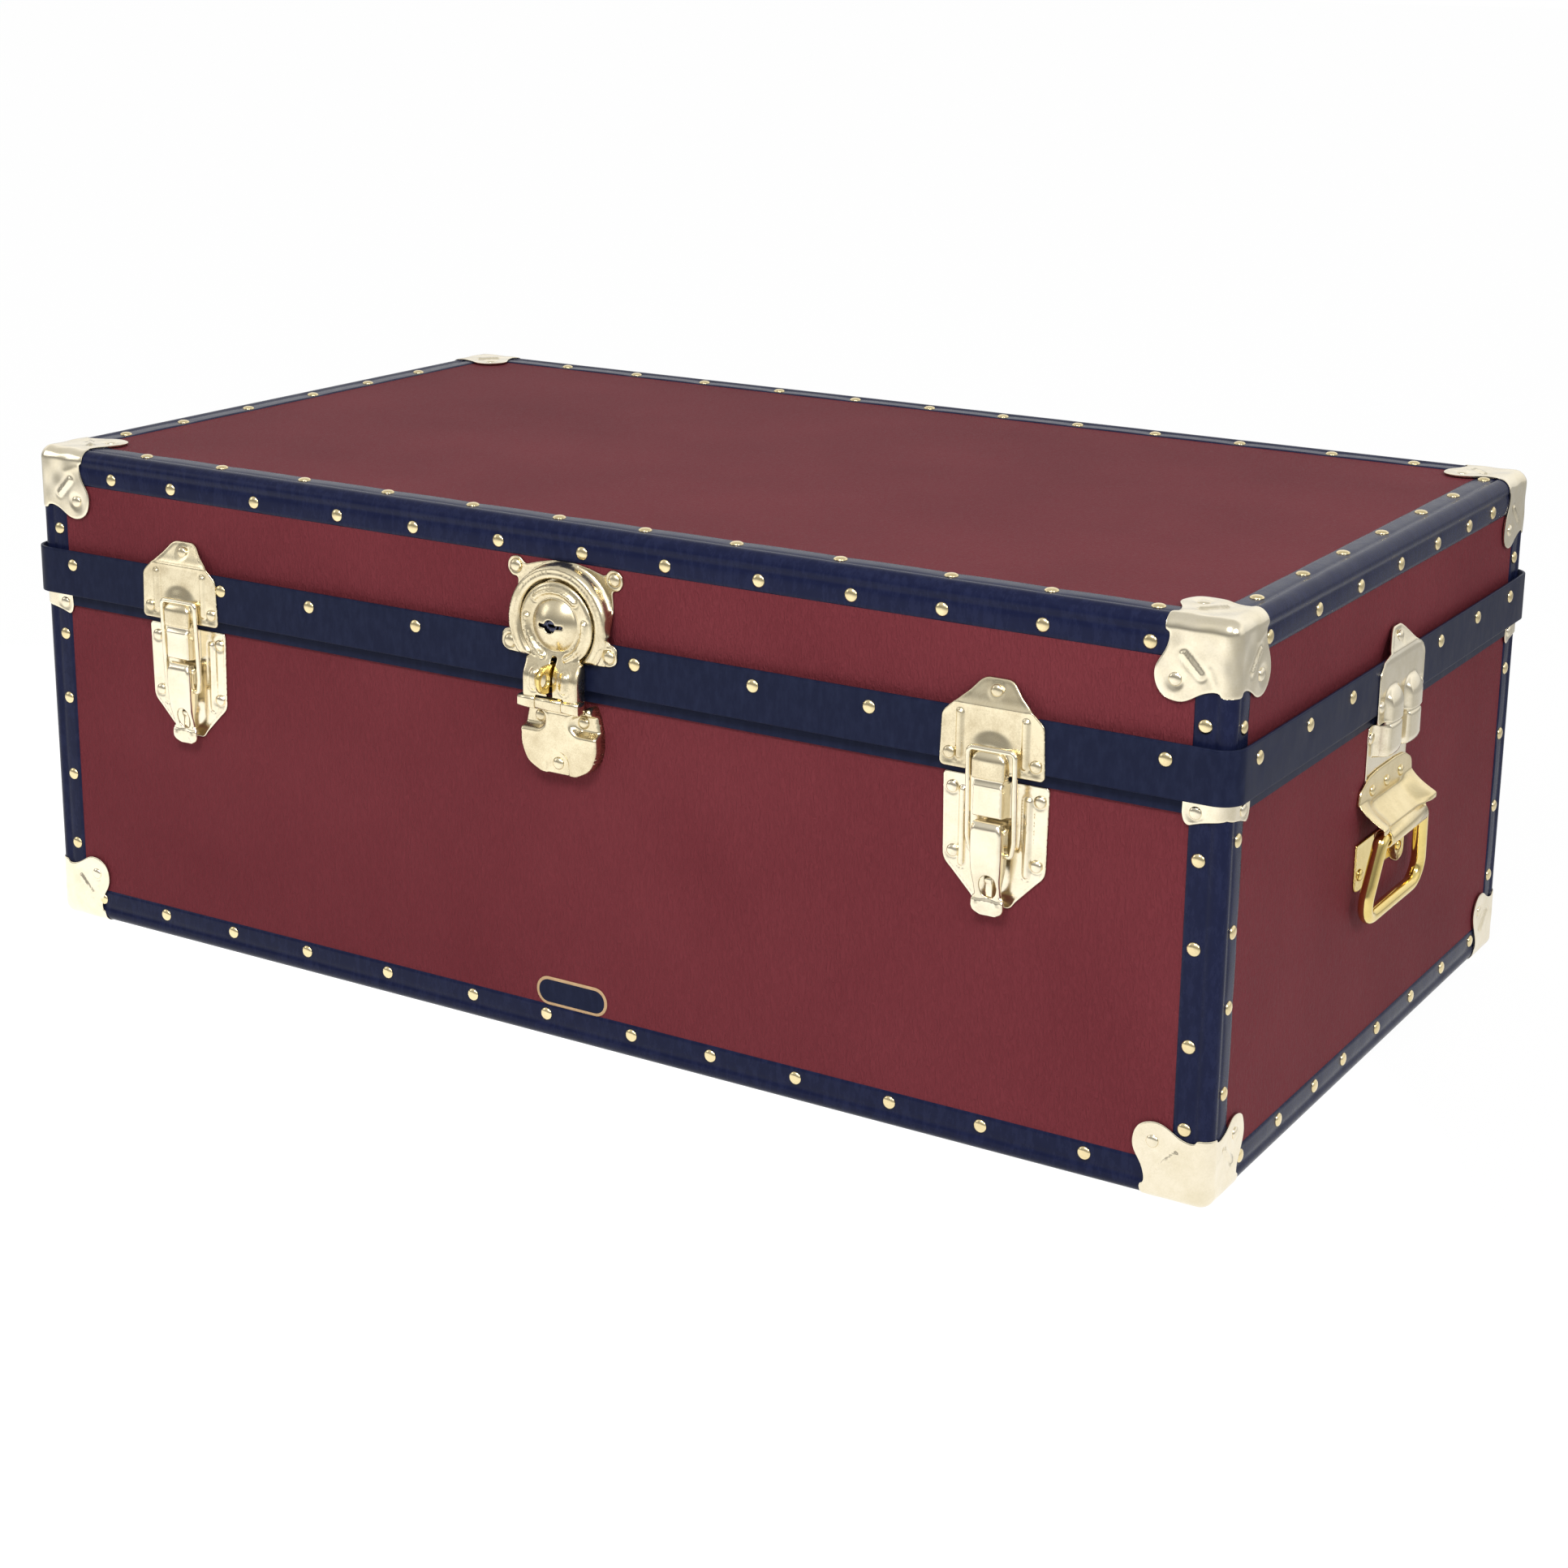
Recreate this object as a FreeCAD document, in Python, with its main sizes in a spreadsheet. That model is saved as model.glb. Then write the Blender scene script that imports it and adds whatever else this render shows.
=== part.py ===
"""Storage trunk: a covered plywood box with a hinged lid, fibre bindings and pressed brass fittings.

The trunk stands on the underside of its bottom corners, at height zero. X runs along its length,
the front with the lock and latches faces -Y, and Z is up. Lengths are in millimetres.
"""
import FreeCAD, Part
import math
import os
from types import SimpleNamespace

from FreeCAD import Placement, Rotation, Vector

os.makedirs("parts", exist_ok=True)
doc = FreeCAD.newDocument("storage_trunk")

# Driving sizes: one row of the sheet each
SIZES = [
    # Case
    ("case_length", 914.0),
    ("case_depth", 520.0),
    ("edge_radius", 8.0),
    ("board", 6.0),
    ("cover_skin", 0.6),
    ("lining_skin", 0.5),
    ("seam_height", 254.0),
    ("lid_height", 98.0),
    ("seam_gap", 0.4),
    # Fibre bindings, the rim strip of the base and the band round the lid
    ("binding_skin", 1.4),
    ("binding_width", 24.3),
    ("rim_drop", 15.0),
    ("rim_skin", 1.6),
    ("band_drop", 6.4),
    ("band_width", 32.9),
    ("band_skin", 2.0),
    ("band_out", 5.4),
    ("band_radius", 15.0),
    ("band_lip", 5.0),
    # Pressed corners and the clips under the band
    ("brass", 1.0),
    ("corner_lobe", 48.6),
    ("cap_rib_length", 16.0),
    ("cap_rib_width", 3.0),
    ("cap_rib_rise", 1.0),
    ("clip_reach", 27.0),
    ("clip_drop", 15.6),
    ("clip_height", 19.0),
    # Fitting plates
    ("plate", 1.2),
    ("front_rib", 5.0),
    ("front_rib_rise", 1.2),
    # Draw latches
    ("latch_left_inset", 137.0),
    ("latch_right_inset", 145.0),
    ("keeper_width", 69.0),
    ("keeper_drop", 10.4),
    ("keeper_over_band", 2.0),
    ("keeper_lean", 17.0),
    ("dome_width", 23.0),
    ("dome_drop", 13.2),
    ("dome_height", 15.0),
    ("dome_neck", 10.2),
    ("dome_front", 12.4),
    ("latch_width", 69.5),
    ("latch_drop", 15.3),
    ("latch_length", 78.4),
    ("latch_shoulder_rise", 25.7),
    ("dowel_foot", 21.4),
    ("dowel_tip", 10.2),
    ("lever_width", 22.0),
    ("lever_skin", 1.2),
    ("lever_roll", 6.0),
    ("lever_pivot_drop", 29.2),
    ("lever_pivot_out", 6.6),
    ("lever_front", 12.4),
    ("lever_length", 54.5),
    ("lever_tail_out", 5.6),
    ("lever_neck_rise", 11.0),
    ("lever_neck_out", 3.4),
    ("lever_bow", 24.0),
    ("lever_hole", 12.0),
    ("lever_hole_rise", 13.5),
    ("lever_hole_place", 20.0),
    ("strap_width", 5.7),
    ("strap_rise", 8.0),
    ("strap_out", 9.0),
    ("latch_pin", 1.5),
    ("loop_wire", 3.5),
    ("loop_width", 34.0),
    ("loop_bar_rise", 2.6),
    ("loop_bar_out", 9.6),
    ("loop_eye_drop", 14.5),
    ("loop_bend", 5.0),
    # Lock and hasp
    ("lock_place", 4.0),
    ("arch_centre_rise", 35.0),
    ("arch_outer", 37.5),
    ("arch_inner", 29.2),
    ("arch_rise", 6.0),
    ("ear_span", 76.0),
    ("ear_rise", 31.5),
    ("ear_drop", 16.5),
    ("ear_radius", 6.6),
    ("lock_plate_drop", 23.5),
    ("hasp_radius", 27.6),
    ("hasp_head_out", 10.6),
    ("hasp_face_out", 18.4),
    ("hasp_skin", 1.4),
    ("tongue_width", 40.0),
    ("hasp_axis_drop", 15.6),
    ("hasp_axis_out", 16.0),
    ("hasp_barrel", 3.7),
    ("hasp_barrel_width", 47.0),
    ("hasp_pin", 1.6),
    ("disc_radius", 17.0),
    ("disc_rise", 5.6),
    ("plug_radius", 4.3),
    ("key_slot_length", 18.5),
    ("key_slot_height", 2.6),
    ("slot_rise", 5.2),
    ("slot_length", 25.4),
    ("slot_width", 4.6),
    ("staple_skin", 2.8),
    ("staple_foot", 2.4),
    ("staple_height", 18.5),
    ("staple_out", 31.0),
    ("staple_hole", 4.5),
    ("pan_width", 59.0),
    ("pan_gap", 5.9),
    ("pan_height", 43.5),
    ("pan_depth", 9.4),
    ("pan_pocket", 19.0),
    # End guides
    ("guide_width", 85.0),
    ("guide_base_width", 77.0),
    ("guide_base_drop", 54.0),
    ("guide_dome", 25.0),
    ("guide_spread", 35.0),
    ("guide_foot", 25.2),
    ("guide_neck", 7.2),
    # End handles
    ("handle_plate_width", 100.0),
    ("handle_lap", 6.5),
    ("handle_bend_drop", 22.5),
    ("handle_axis_drop", 39.5),
    ("handle_axis_out", 12.6),
    ("handle_barrel_skin", 1.5),
    ("handle_barrel_width", 66.0),
    ("handle_tube", 5.0),
    ("handle_top_width", 82.0),
    ("handle_low_width", 116.0),
    ("handle_drop", 52.0),
    ("handle_lean", 4.6),
    ("handle_bend", 13.0),
    ("hood_spread", 86.0),
    ("hood_width", 20.0),
    ("hood_out", 20.0),
    ("back_plate_width", 97.0),
    ("back_plate_gap", 4.0),
    ("back_plate_height", 33.0),
    ("back_plate_arch_rise", 7.0),
    # Back hinges
    ("hinge_inset", 167.0),
    ("hinge_width", 54.0),
    ("hinge_knuckle", 3.5),
    ("hinge_pin", 1.6),
    ("hinge_leaf", 1.5),
    ("hinge_leaf_drop", 35.0),
    ("hinge_leaf_in", 3.0),
    # Turn of one chord of a fitting's rounds, in degrees
    ("chord_turn", 45.0),
    # Running clearances
    ("pin_play", 0.05),
    ("play", 0.4),
]

# Places worked out in the sheet: each fitting hangs on what it lines up with
PLACES = [
    ("case_top", "seam_height + lid_height"),
    ("rim_low", "seam_height - rim_drop"),
    ("band_low", "seam_height - band_drop"),
    ("band_high", "band_low + band_width"),
    ("clip_low", "band_low - clip_drop"),
    ("clip_high", "clip_low + clip_height"),
    ("latch_left", "latch_left_inset - case_length / 2"),
    ("latch_right", "case_length / 2 - latch_right_inset"),
    ("keeper_low", "seam_height - keeper_drop"),
    ("keeper_crease", "band_high + keeper_over_band"),
    ("keeper_high", "keeper_crease + keeper_lean"),
    ("dome_low", "seam_height - dome_drop"),
    ("dome_top", "dome_low + dome_height"),
    ("dome_root", "dome_top + dome_neck"),
    ("latch_high", "seam_height - latch_drop"),
    ("latch_low", "latch_high - latch_length"),
    ("latch_shoulder", "latch_low + latch_shoulder_rise"),
    ("dowel_low", "latch_high - dowel_foot"),
    ("dowel_high", "dome_low + dowel_tip"),
    ("lever_pivot_up", "latch_high - lever_pivot_drop"),
    ("lever_tail", "lever_pivot_up - lever_length"),
    ("lever_neck_up", "lever_tail + lever_neck_rise"),
    ("lever_hole_up", "lever_tail + lever_hole_place"),
    ("loop_bar_up", "dome_top + loop_bar_rise"),
    ("arch_centre", "seam_height + arch_centre_rise"),
    ("ear_high", "arch_centre + ear_rise"),
    ("ear_low", "arch_centre - ear_drop"),
    ("lock_plate_low", "arch_centre - lock_plate_drop"),
    ("hasp_axis_up", "seam_height - hasp_axis_drop"),
    ("slot_low", "hasp_axis_up + slot_rise"),
    ("slot_high", "slot_low + slot_length"),
    ("staple_low", "slot_low + staple_foot"),
    ("staple_high", "staple_low + staple_height"),
    ("staple_hole_out", "hasp_face_out + play + staple_hole"),
    ("pan_high", "hasp_axis_up - pan_gap"),
    ("pan_low", "pan_high - pan_height"),
    ("guide_base_low", "seam_height - guide_base_drop"),
    ("guide_dowel_low", "latch_high - guide_foot"),
    ("guide_root", "dome_top + guide_neck"),
    ("handle_plate_high", "guide_base_low + handle_lap"),
    ("handle_bend_high", "handle_plate_high - handle_bend_drop"),
    ("handle_axis_up", "handle_plate_high - handle_axis_drop"),
    ("back_plate_high", "handle_axis_up - back_plate_gap"),
    ("back_plate_low", "back_plate_high - back_plate_height"),
    ("back_plate_arch", "back_plate_low + back_plate_arch_rise"),
    ("hinge_spread", "case_length / 2 - hinge_inset"),
    ("hinge_leaf_low", "rim_low - hinge_leaf_drop"),
    ("hinge_leaf_high", "band_high - hinge_leaf_in"),
]

sheet = doc.addObject("Spreadsheet::Sheet", "Size")
ROWS = SIZES + [(alias, "=" + formula) for alias, formula in PLACES]
for row, (alias, value) in enumerate(ROWS, start=1):
    sheet.set("A%d" % row, alias)
    sheet.setAlias("B%d" % row, alias)
    sheet.set("B%d" % row, str(value))
doc.recompute()
s = SimpleNamespace(**{alias: float(sheet.get(alias)) for alias, value in ROWS})

# Planes that the fittings are seated on, as distances out from the binding's face
face_out = -s.binding_skin
case_half_depth = s.case_depth / 2
case_half_length = s.case_length / 2
hinge_axis_out = s.band_out + s.hinge_knuckle + s.play
centre_shift = (s.staple_out - hinge_axis_out - s.hinge_knuckle) / 2

OUTLINE_SHARE = 0.48
TINY = 1e-6
# Sides of the many-sided rounds
SIDES = 12
HINGE_SIDES = 8
LOOP_SIDES = 8
HANDLE_SIDES = 10
ARCH_SIDES = 20
HEAD_SIDES = 18


def check_state():
    """Stop if any object of the document failed or has no sound shape."""
    doc.recompute()
    for item in doc.Objects:
        if "Invalid" in item.State or "Error" in item.State:
            raise RuntimeError("%s failed: %s" % (item.Name, item.State))


def bind(item, **expressions):
    """Bind properties to sheet expressions; an underscore in a name stands for a dot."""
    for name, text in expressions.items():
        item.setExpression(name.replace("_", "."), text)


# Case: rounded blocks, one inside the other, that the skins and panels are cut from
def rounded_block(name, inset, radius, low, high, upright_only=False, bevelled=False):
    """A box set in from the binding's outer faces, with its edges rounded or bevelled."""
    body = doc.addObject("PartDesign::Body", name)
    box = body.newObject("PartDesign::AdditiveBox", name + "_box")
    bind(
        box,
        Length="Size.case_length - 2 * (%s)" % inset,
        Width="Size.case_depth - 2 * (%s)" % inset,
        Height="%s - (%s)" % (high, low),
        Placement_Base_x="(%s) - Size.case_length / 2" % inset,
        Placement_Base_y="(%s) - Size.case_depth / 2" % inset,
        Placement_Base_z=low,
    )
    doc.recompute()
    edges = []
    for number, edge in enumerate(box.Shape.Edges, start=1):
        start, end = edge.Vertexes[0].Point, edge.Vertexes[1].Point
        if not upright_only or abs(start.z - end.z) > TINY:
            edges.append("Edge%d" % number)
    kind = "PartDesign::Chamfer" if bevelled else "PartDesign::Fillet"
    edging = body.newObject(kind, name + "_edges")
    edging.Base = (box, edges)
    if bevelled:
        bind(edging, Size="(2 - sqrt(2)) * (%s)" % radius)
    else:
        bind(edging, Radius=radius)
    doc.recompute()
    return body


def case_block(name, inset, bevelled=False):
    """One of the nested blocks of the whole case, its edges concentric with the binding's."""
    return rounded_block(
        name,
        inset,
        "Size.edge_radius - (%s)" % inset,
        "Size.brass + (%s)" % inset,
        "Size.case_top - (%s)" % inset,
        bevelled=bevelled,
    )


def zone(name, low, high):
    """A box between two corners, each three expressions."""
    box = doc.addObject("Part::Box", name)
    bind(
        box,
        Length="(%s) - (%s)" % (high[0], low[0]),
        Width="(%s) - (%s)" % (high[1], low[1]),
        Height="(%s) - (%s)" % (high[2], low[2]),
        Placement_Base_x=low[0],
        Placement_Base_y=low[1],
        Placement_Base_z=low[2],
    )
    return box


def cut(name, base, tool):
    item = doc.addObject("Part::Cut", name)
    item.Base = base
    item.Tool = tool
    return item


def common(name, base, tool):
    item = doc.addObject("Part::Common", name)
    item.Base = base
    item.Tool = tool
    return item


def fuse(name, pieces):
    item = doc.addObject("Part::MultiFuse", name)
    item.Shapes = pieces
    return item


SHIFT = "(Size.staple_out - Size.band_out - 2 * Size.hinge_knuckle - Size.play) / 2"
exported = []


def export(item, name):
    """Name a finished sub-part and set it about the middle of the whole trunk."""
    item.Label = name
    item.setExpression("Placement.Base.y", SHIFT)
    exported.append(item)
    return item


HALF_X = "Size.case_length / 2"
HALF_Y = "Size.case_depth / 2"
COVER_IN = "Size.binding_skin"
BOARD_IN = "(Size.binding_skin + Size.cover_skin)"
WALL_IN = "(%s + Size.board)" % BOARD_IN
LINING_IN = "(%s + Size.lining_skin)" % WALL_IN
SEAM = "Size.seam_height"
LID_SEAM = "(Size.seam_height + Size.seam_gap)"
FLOOR = "Size.brass"
TOP = "Size.case_top"

NIP = "(Size.edge_radius + Size.brass)"
nips = []
for number in range(8):
    x_side, y_side, z_side = number % 2, number // 2 % 2, number // 4
    x = (HALF_X + " - " + NIP, HALF_X) if x_side else ("-" + HALF_X, NIP + " - " + HALF_X)
    y = (HALF_Y + " - " + NIP, HALF_Y) if y_side else ("-" + HALF_Y, NIP + " - " + HALF_Y)
    z = (TOP + " - " + NIP, TOP) if z_side else (FLOOR, FLOOR + " + " + NIP)
    nips.append(zone("nip_%d" % number, (x[0], y[0], z[0]), (x[1], y[1], z[1])))
nip_zone = fuse("nip_zone", nips)

# The corners of every layer are nipped off under the brass corners
brass_block = case_block("brass_block", "-Size.brass", bevelled=True)
outer_block = cut("outer_block", case_block("outer_form", "0 * Size.brass"), nip_zone)
cover_form = case_block("cover_form", COVER_IN, bevelled=True)
cover_block = cut("cover_block", cover_form, nip_zone)
board_form = case_block("board_form", BOARD_IN, bevelled=True)
board_block = cut("board_block", board_form, nip_zone)
brass_bore = cut("brass_bore", case_block("brass_bore_form", "0 * Size.brass", True), nip_zone)
binding_shell = cut("binding_shell", outer_block, cover_form)
cover_shell = cut("cover_shell", cover_block, board_form)


def wide_zone(name, low, high):
    """The whole plan of the trunk between two heights."""
    return zone(name, ("-" + HALF_X, "-" + HALF_Y, low), (HALF_X, HALF_Y, high))


def case_half(part, low, high, floor_low, floor_high):
    """The five panels, covering and lining of the base or the lid."""
    inner = (HALF_X + " - " + WALL_IN, HALF_Y + " - " + WALL_IN)
    flat = zone(
        part + "_flat_zone",
        ("-(%s)" % inner[0], "-(%s)" % inner[1], floor_low),
        (inner[0], inner[1], floor_high),
    )
    flat_name = "base_floor_panel" if part == "base" else "lid_top_panel"
    export(common(flat_name + "_shape", board_block, flat), flat_name)
    for side, sign in (("front", -1), ("back", 1)):
        near, far = (HALF_Y, inner[1]) if sign > 0 else ("-(%s)" % inner[1], "-" + HALF_Y)
        box = zone(
            "%s_%s_zone" % (part, side),
            ("-" + HALF_X, far, low),
            (HALF_X, near, high),
        )
        if sign > 0:
            bind(box, Width="%s - (%s)" % (HALF_Y, inner[1]), Placement_Base_y=inner[1])
        name = "%s_%s_panel" % (part, side)
        export(common(name + "_shape", board_block, box), name)
    for side, sign in (("left", -1), ("right", 1)):
        near, far = (inner[0], HALF_X) if sign > 0 else ("-" + HALF_X, "-(%s)" % inner[0])
        box = zone(
            "%s_%s_zone" % (part, side),
            (near, "-(%s)" % inner[1], low),
            (far, inner[1], high),
        )
        name = "%s_%s_panel" % (part, side)
        export(common(name + "_shape", board_block, box), name)
    skin = wide_zone(part + "_cover_zone", low, high)
    export(common(part + "_covering_shape", cover_shell, skin), part + "_covering")
    lining_low = floor_high if part == "base" else low
    lining_high = high if part == "base" else floor_low
    outer = zone(
        part + "_lining_outer",
        ("-(%s)" % inner[0], "-(%s)" % inner[1], lining_low),
        (inner[0], inner[1], lining_high),
    )
    hollow_x, hollow_y = HALF_X + " - " + LINING_IN, HALF_Y + " - " + LINING_IN
    hollow_low = lining_low + " + Size.lining_skin" if part == "base" else lining_low
    hollow_high = lining_high if part == "base" else lining_high + " - Size.lining_skin"
    hollow = zone(
        part + "_lining_hollow",
        ("-(%s)" % hollow_x, "-(%s)" % hollow_y, hollow_low),
        (hollow_x, hollow_y, hollow_high),
    )
    export(cut(part + "_lining_shape", outer, hollow), part + "_lining")


case_half("base", FLOOR, SEAM, FLOOR + " + " + BOARD_IN, FLOOR + " + " + WALL_IN)
case_half("lid", LID_SEAM, TOP, TOP + " - " + WALL_IN, TOP + " - " + BOARD_IN)


def corner_zones(name, low, high):
    """The four upright strips at the corners of the plan, as wide as the binding."""
    boxes = []
    inner_x, inner_y = HALF_X + " - Size.binding_width", HALF_Y + " - Size.binding_width"
    for number, (sign_x, sign_y) in enumerate(((-1, -1), (1, -1), (1, 1), (-1, 1))):
        x = (inner_x, HALF_X) if sign_x > 0 else ("-" + HALF_X, "-(%s)" % inner_x)
        y = (inner_y, HALF_Y) if sign_y > 0 else ("-" + HALF_Y, "-(%s)" % inner_y)
        boxes.append(zone("%s_%d" % (name, number), (x[0], y[0], low), (x[1], y[1], high)))
    return fuse(name, boxes)


def edge_bindings(part, low, high, corner_low, corner_high):
    """Four strips round the floor or top edges and the four upright corner strips."""
    inner_x, inner_y = HALF_X + " - Size.binding_width", HALF_Y + " - Size.binding_width"
    end = HALF_X + " - " + NIP
    spans = {
        "front": (("-(%s)" % end, end), ("-" + HALF_Y, "-(%s)" % inner_y)),
        "back": (("-(%s)" % end, end), (inner_y, HALF_Y)),
        "left": (("-" + HALF_X, "-(%s)" % inner_x), ("-(%s)" % inner_y, inner_y)),
        "right": ((inner_x, HALF_X), ("-(%s)" % inner_y, inner_y)),
    }
    for side, (x, y) in spans.items():
        name = "%s_%s_binding" % (part, side)
        box = zone(name + "_zone", (x[0], y[0], low), (x[1], y[1], high))
        export(common(name + "_shape", binding_shell, box), name)
    corners = corner_zones(part + "_upright_zone", corner_low, corner_high)
    name = part + "_corner_bindings"
    export(common(name + "_shape", binding_shell, corners), name)
    return corners


BOTTOM_EDGE = FLOOR + " + Size.binding_width"
TOP_EDGE = TOP + " - Size.binding_width"
base_corners = edge_bindings("base", FLOOR, BOTTOM_EDGE, BOTTOM_EDGE, SEAM)
lid_corners = edge_bindings("lid", TOP_EDGE, TOP, LID_SEAM, TOP_EDGE)

# Rim strip: a flat fibre strip round the top of the base, between the corner bindings
rim_block = case_block("rim_block", "(Size.binding_skin - Size.rim_skin)")
rim_shell = cut("rim_shell", rim_block, cover_block)
rim_zone = zone(
    "rim_zone",
    ("-%s - Size.rim_skin" % HALF_X, "-%s - Size.rim_skin" % HALF_Y, "Size.rim_low"),
    (HALF_X + " + Size.rim_skin", HALF_Y + " + Size.rim_skin", SEAM),
)
rim_ring = common("rim_ring", rim_shell, rim_zone)
rim_gaps = []
for number, (sign_x, sign_y) in enumerate(((-1, -1), (1, -1), (1, 1), (-1, 1))):
    reach = " - Size.clip_reach - Size.play"
    inner_x, inner_y = HALF_X + reach, HALF_Y + reach
    far_x, far_y = HALF_X + " + Size.rim_skin", HALF_Y + " + Size.rim_skin"
    x = (inner_x, far_x) if sign_x > 0 else ("-(%s)" % far_x, "-(%s)" % inner_x)
    y = (inner_y, far_y) if sign_y > 0 else ("-(%s)" % far_y, "-(%s)" % inner_y)
    gap = zone("rim_gap_%d" % number, (x[0], y[0], "Size.rim_low"), (x[1], y[1], SEAM))
    rim_gaps.append(gap)
export(cut("base_rim_strip_shape", rim_ring, fuse("rim_gaps", rim_gaps)), "base_rim_strip")

# Lid band: a stiff fibre band that stands off the lid on a packing and laps over the seam
band_outer = rounded_block(
    "band_outer", "-Size.band_out", "Size.band_radius", "Size.band_low", "Size.band_high", True
)
band_inset = "(Size.band_skin - Size.band_out)"
band_bore = rounded_block(
    "band_bore",
    band_inset,
    "Size.band_radius - Size.band_skin",
    "Size.band_low - Size.brass",
    "Size.band_high + Size.brass",
    True,
    True,
)
packing_block = rounded_block(
    "packing_block",
    band_inset,
    "Size.band_radius - Size.band_skin",
    LID_SEAM,
    "Size.band_high - Size.band_lip",
    True,
    True,
)
band_sheet = cut("band_sheet", band_outer, band_bore)
packing_gaps = []
for number, (sign_x, sign_y) in enumerate(((-1, -1), (1, -1), (1, 1), (-1, 1))):
    near_x, near_y = HALF_X + " - Size.binding_width", HALF_Y + " - Size.binding_width"
    far_x, far_y = HALF_X + " + Size.band_out", HALF_Y + " + Size.band_out"
    x = (near_x, far_x) if sign_x > 0 else ("-(%s)" % far_x, "-(%s)" % near_x)
    y = (near_y, far_y) if sign_y > 0 else ("-(%s)" % far_y, "-(%s)" % near_y)
    gap = zone("packing_gap_%d" % number, (x[0], y[0], SEAM), (x[1], y[1], "Size.band_high"))
    packing_gaps.append(gap)
packing_ring = cut("packing_ring", packing_block, cover_block)
packing = cut("packing", packing_ring, fuse("packing_gaps", packing_gaps))
export(fuse("lid_band_shape", [band_sheet, packing]), "lid_band")
check_state()


# Outlines: a corner is (across, up, radius of its rounding)
def turned(a, b, scale_a, scale_b):
    return (a[0] * scale_a + b[0] * scale_b, a[1] * scale_a + b[1] * scale_b)


def outline_wire(corners, to_space, closed=True):
    """A wire through the corners, each rounded by chords of the arc that its sides leave room for."""
    count = len(corners)
    points = []
    for i, (across, up, radius) in enumerate(corners):
        here = (across, up)
        if radius <= 0 or (not closed and i in (0, count - 1)):
            points.append(here)
            continue
        last, after = corners[i - 1], corners[(i + 1) % count]
        back = turned(last, here, 1, -1)
        ahead = turned(after, here, 1, -1)
        back_length, ahead_length = math.hypot(*back), math.hypot(*ahead)
        back = (back[0] / back_length, back[1] / back_length)
        ahead = (ahead[0] / ahead_length, ahead[1] / ahead_length)
        half = math.acos(max(-1, min(1, back[0] * ahead[0] + back[1] * ahead[1]))) / 2
        turn = math.pi - 2 * half
        if turn < TINY:
            points.append(here)
            continue
        trim = min(radius / math.tan(half), OUTLINE_SHARE * min(back_length, ahead_length))
        fit = trim * math.tan(half)
        start = turned(here, back, 1, trim)
        side = turned(ahead, back, 1, math.cos(turn))
        side_length = math.hypot(*side)
        inward = (side[0] / side_length, side[1] / side_length)
        chords = max(1, round(math.degrees(turn) / s.chord_turn))
        for step in range(chords + 1):
            angle = turn * step / chords
            along = turned(back, inward, -fit * math.sin(angle), fit * (1 - math.cos(angle)))
            points.append(turned(start, along, 1, 1))
    spots = [to_space(*point) for point in points]
    return Part.makePolygon(spots + spots[:1] if closed else spots)


def mirrored(half):
    """A whole outline from its right half, given from the bottom up."""
    return list(half) + [(-across, up, radius) for across, up, radius in reversed(half)]


# Fittings are drawn on a front face: X across, Z up, and "out" is the distance from the
# binding's face towards the viewer, which is -Y
def front_prism(corners, low_out, high_out):
    """An outline seen from the front, solid between two distances out."""
    wire = outline_wire(corners, lambda across, up: Vector(across, -low_out, up))
    return Part.Face(wire).extrude(Vector(0, low_out - high_out, 0))


def side_prism(corners, low_x, high_x):
    """An outline of (out, up) corners seen from the side, solid between two places across."""
    wire = outline_wire(corners, lambda out, up: Vector(low_x, -out, up))
    return Part.Face(wire).extrude(Vector(high_x - low_x, 0, 0))


def plan_prism(corners, low, high):
    """An outline of (across, out) corners seen from above, solid between two heights."""
    wire = outline_wire(corners, lambda across, out: Vector(across, -out, low))
    return Part.Face(wire).extrude(Vector(0, 0, high - low))


def many_sided(across, up, radius, sides):
    """The corners of a many-sided round."""
    places = []
    for number in range(sides):
        angle = 2 * math.pi * (number + 0.5) / sides
        places.append((across + radius * math.cos(angle), up + radius * math.sin(angle), 0))
    return places


def bar(out, up, radius, low_x, high_x, sides=SIDES):
    """A round bar that runs across."""
    return side_prism(many_sided(out, up, radius, sides), low_x, high_x)


def bore(out, up, radius, low_x, high_x, sides=SIDES):
    """The tool for a hole that runs across and clears a bar of this radius all round."""
    return bar(out, up, radius / math.cos(math.pi / sides), low_x, high_x, sides)


def pin(out, up, radius, low_x, high_x):
    """A truly round bar that runs across."""
    return Part.makeCylinder(radius, high_x - low_x, Vector(low_x, -out, up), Vector(1, 0, 0))


def stud(across, up, radius, low_out, high_out):
    """A round bar that points out of the face."""
    return front_prism(many_sided(across, up, radius, SIDES), low_out, high_out)


def turned_piece(profile, up, sides):
    """A (radius, out) outline turned in flats about an axis that points out of the face."""
    wire = outline_wire(profile, lambda radius, out: Vector(radius, out, 0))
    corners = [(v.X, v.Y) for v in wire.OrderedVertexes]
    step = 2 * math.pi / sides

    def spot(corner, number):
        angle = step * (number + 0.5)
        across, rise = corner[0] * math.cos(angle), corner[0] * math.sin(angle)
        return Vector(across, -corner[1], up + rise)

    faces = []
    for here, after in zip(corners, corners[1:] + corners[:1]):
        for number in range(sides):
            ring = [spot(here, number), spot(after, number)]
            ring += [spot(after, number + 1), spot(here, number + 1)]
            spots = [ring[0]]
            for place in ring[1:]:
                if place.distanceToPoint(spots[-1]) > TINY:
                    spots.append(place)
            if spots[0].distanceToPoint(spots[-1]) < TINY:
                spots.pop()
            if len(spots) > 2:
                faces.append(Part.Face(Part.makePolygon(spots + spots[:1])))
    return Part.Solid(Part.Shell(faces))


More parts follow.
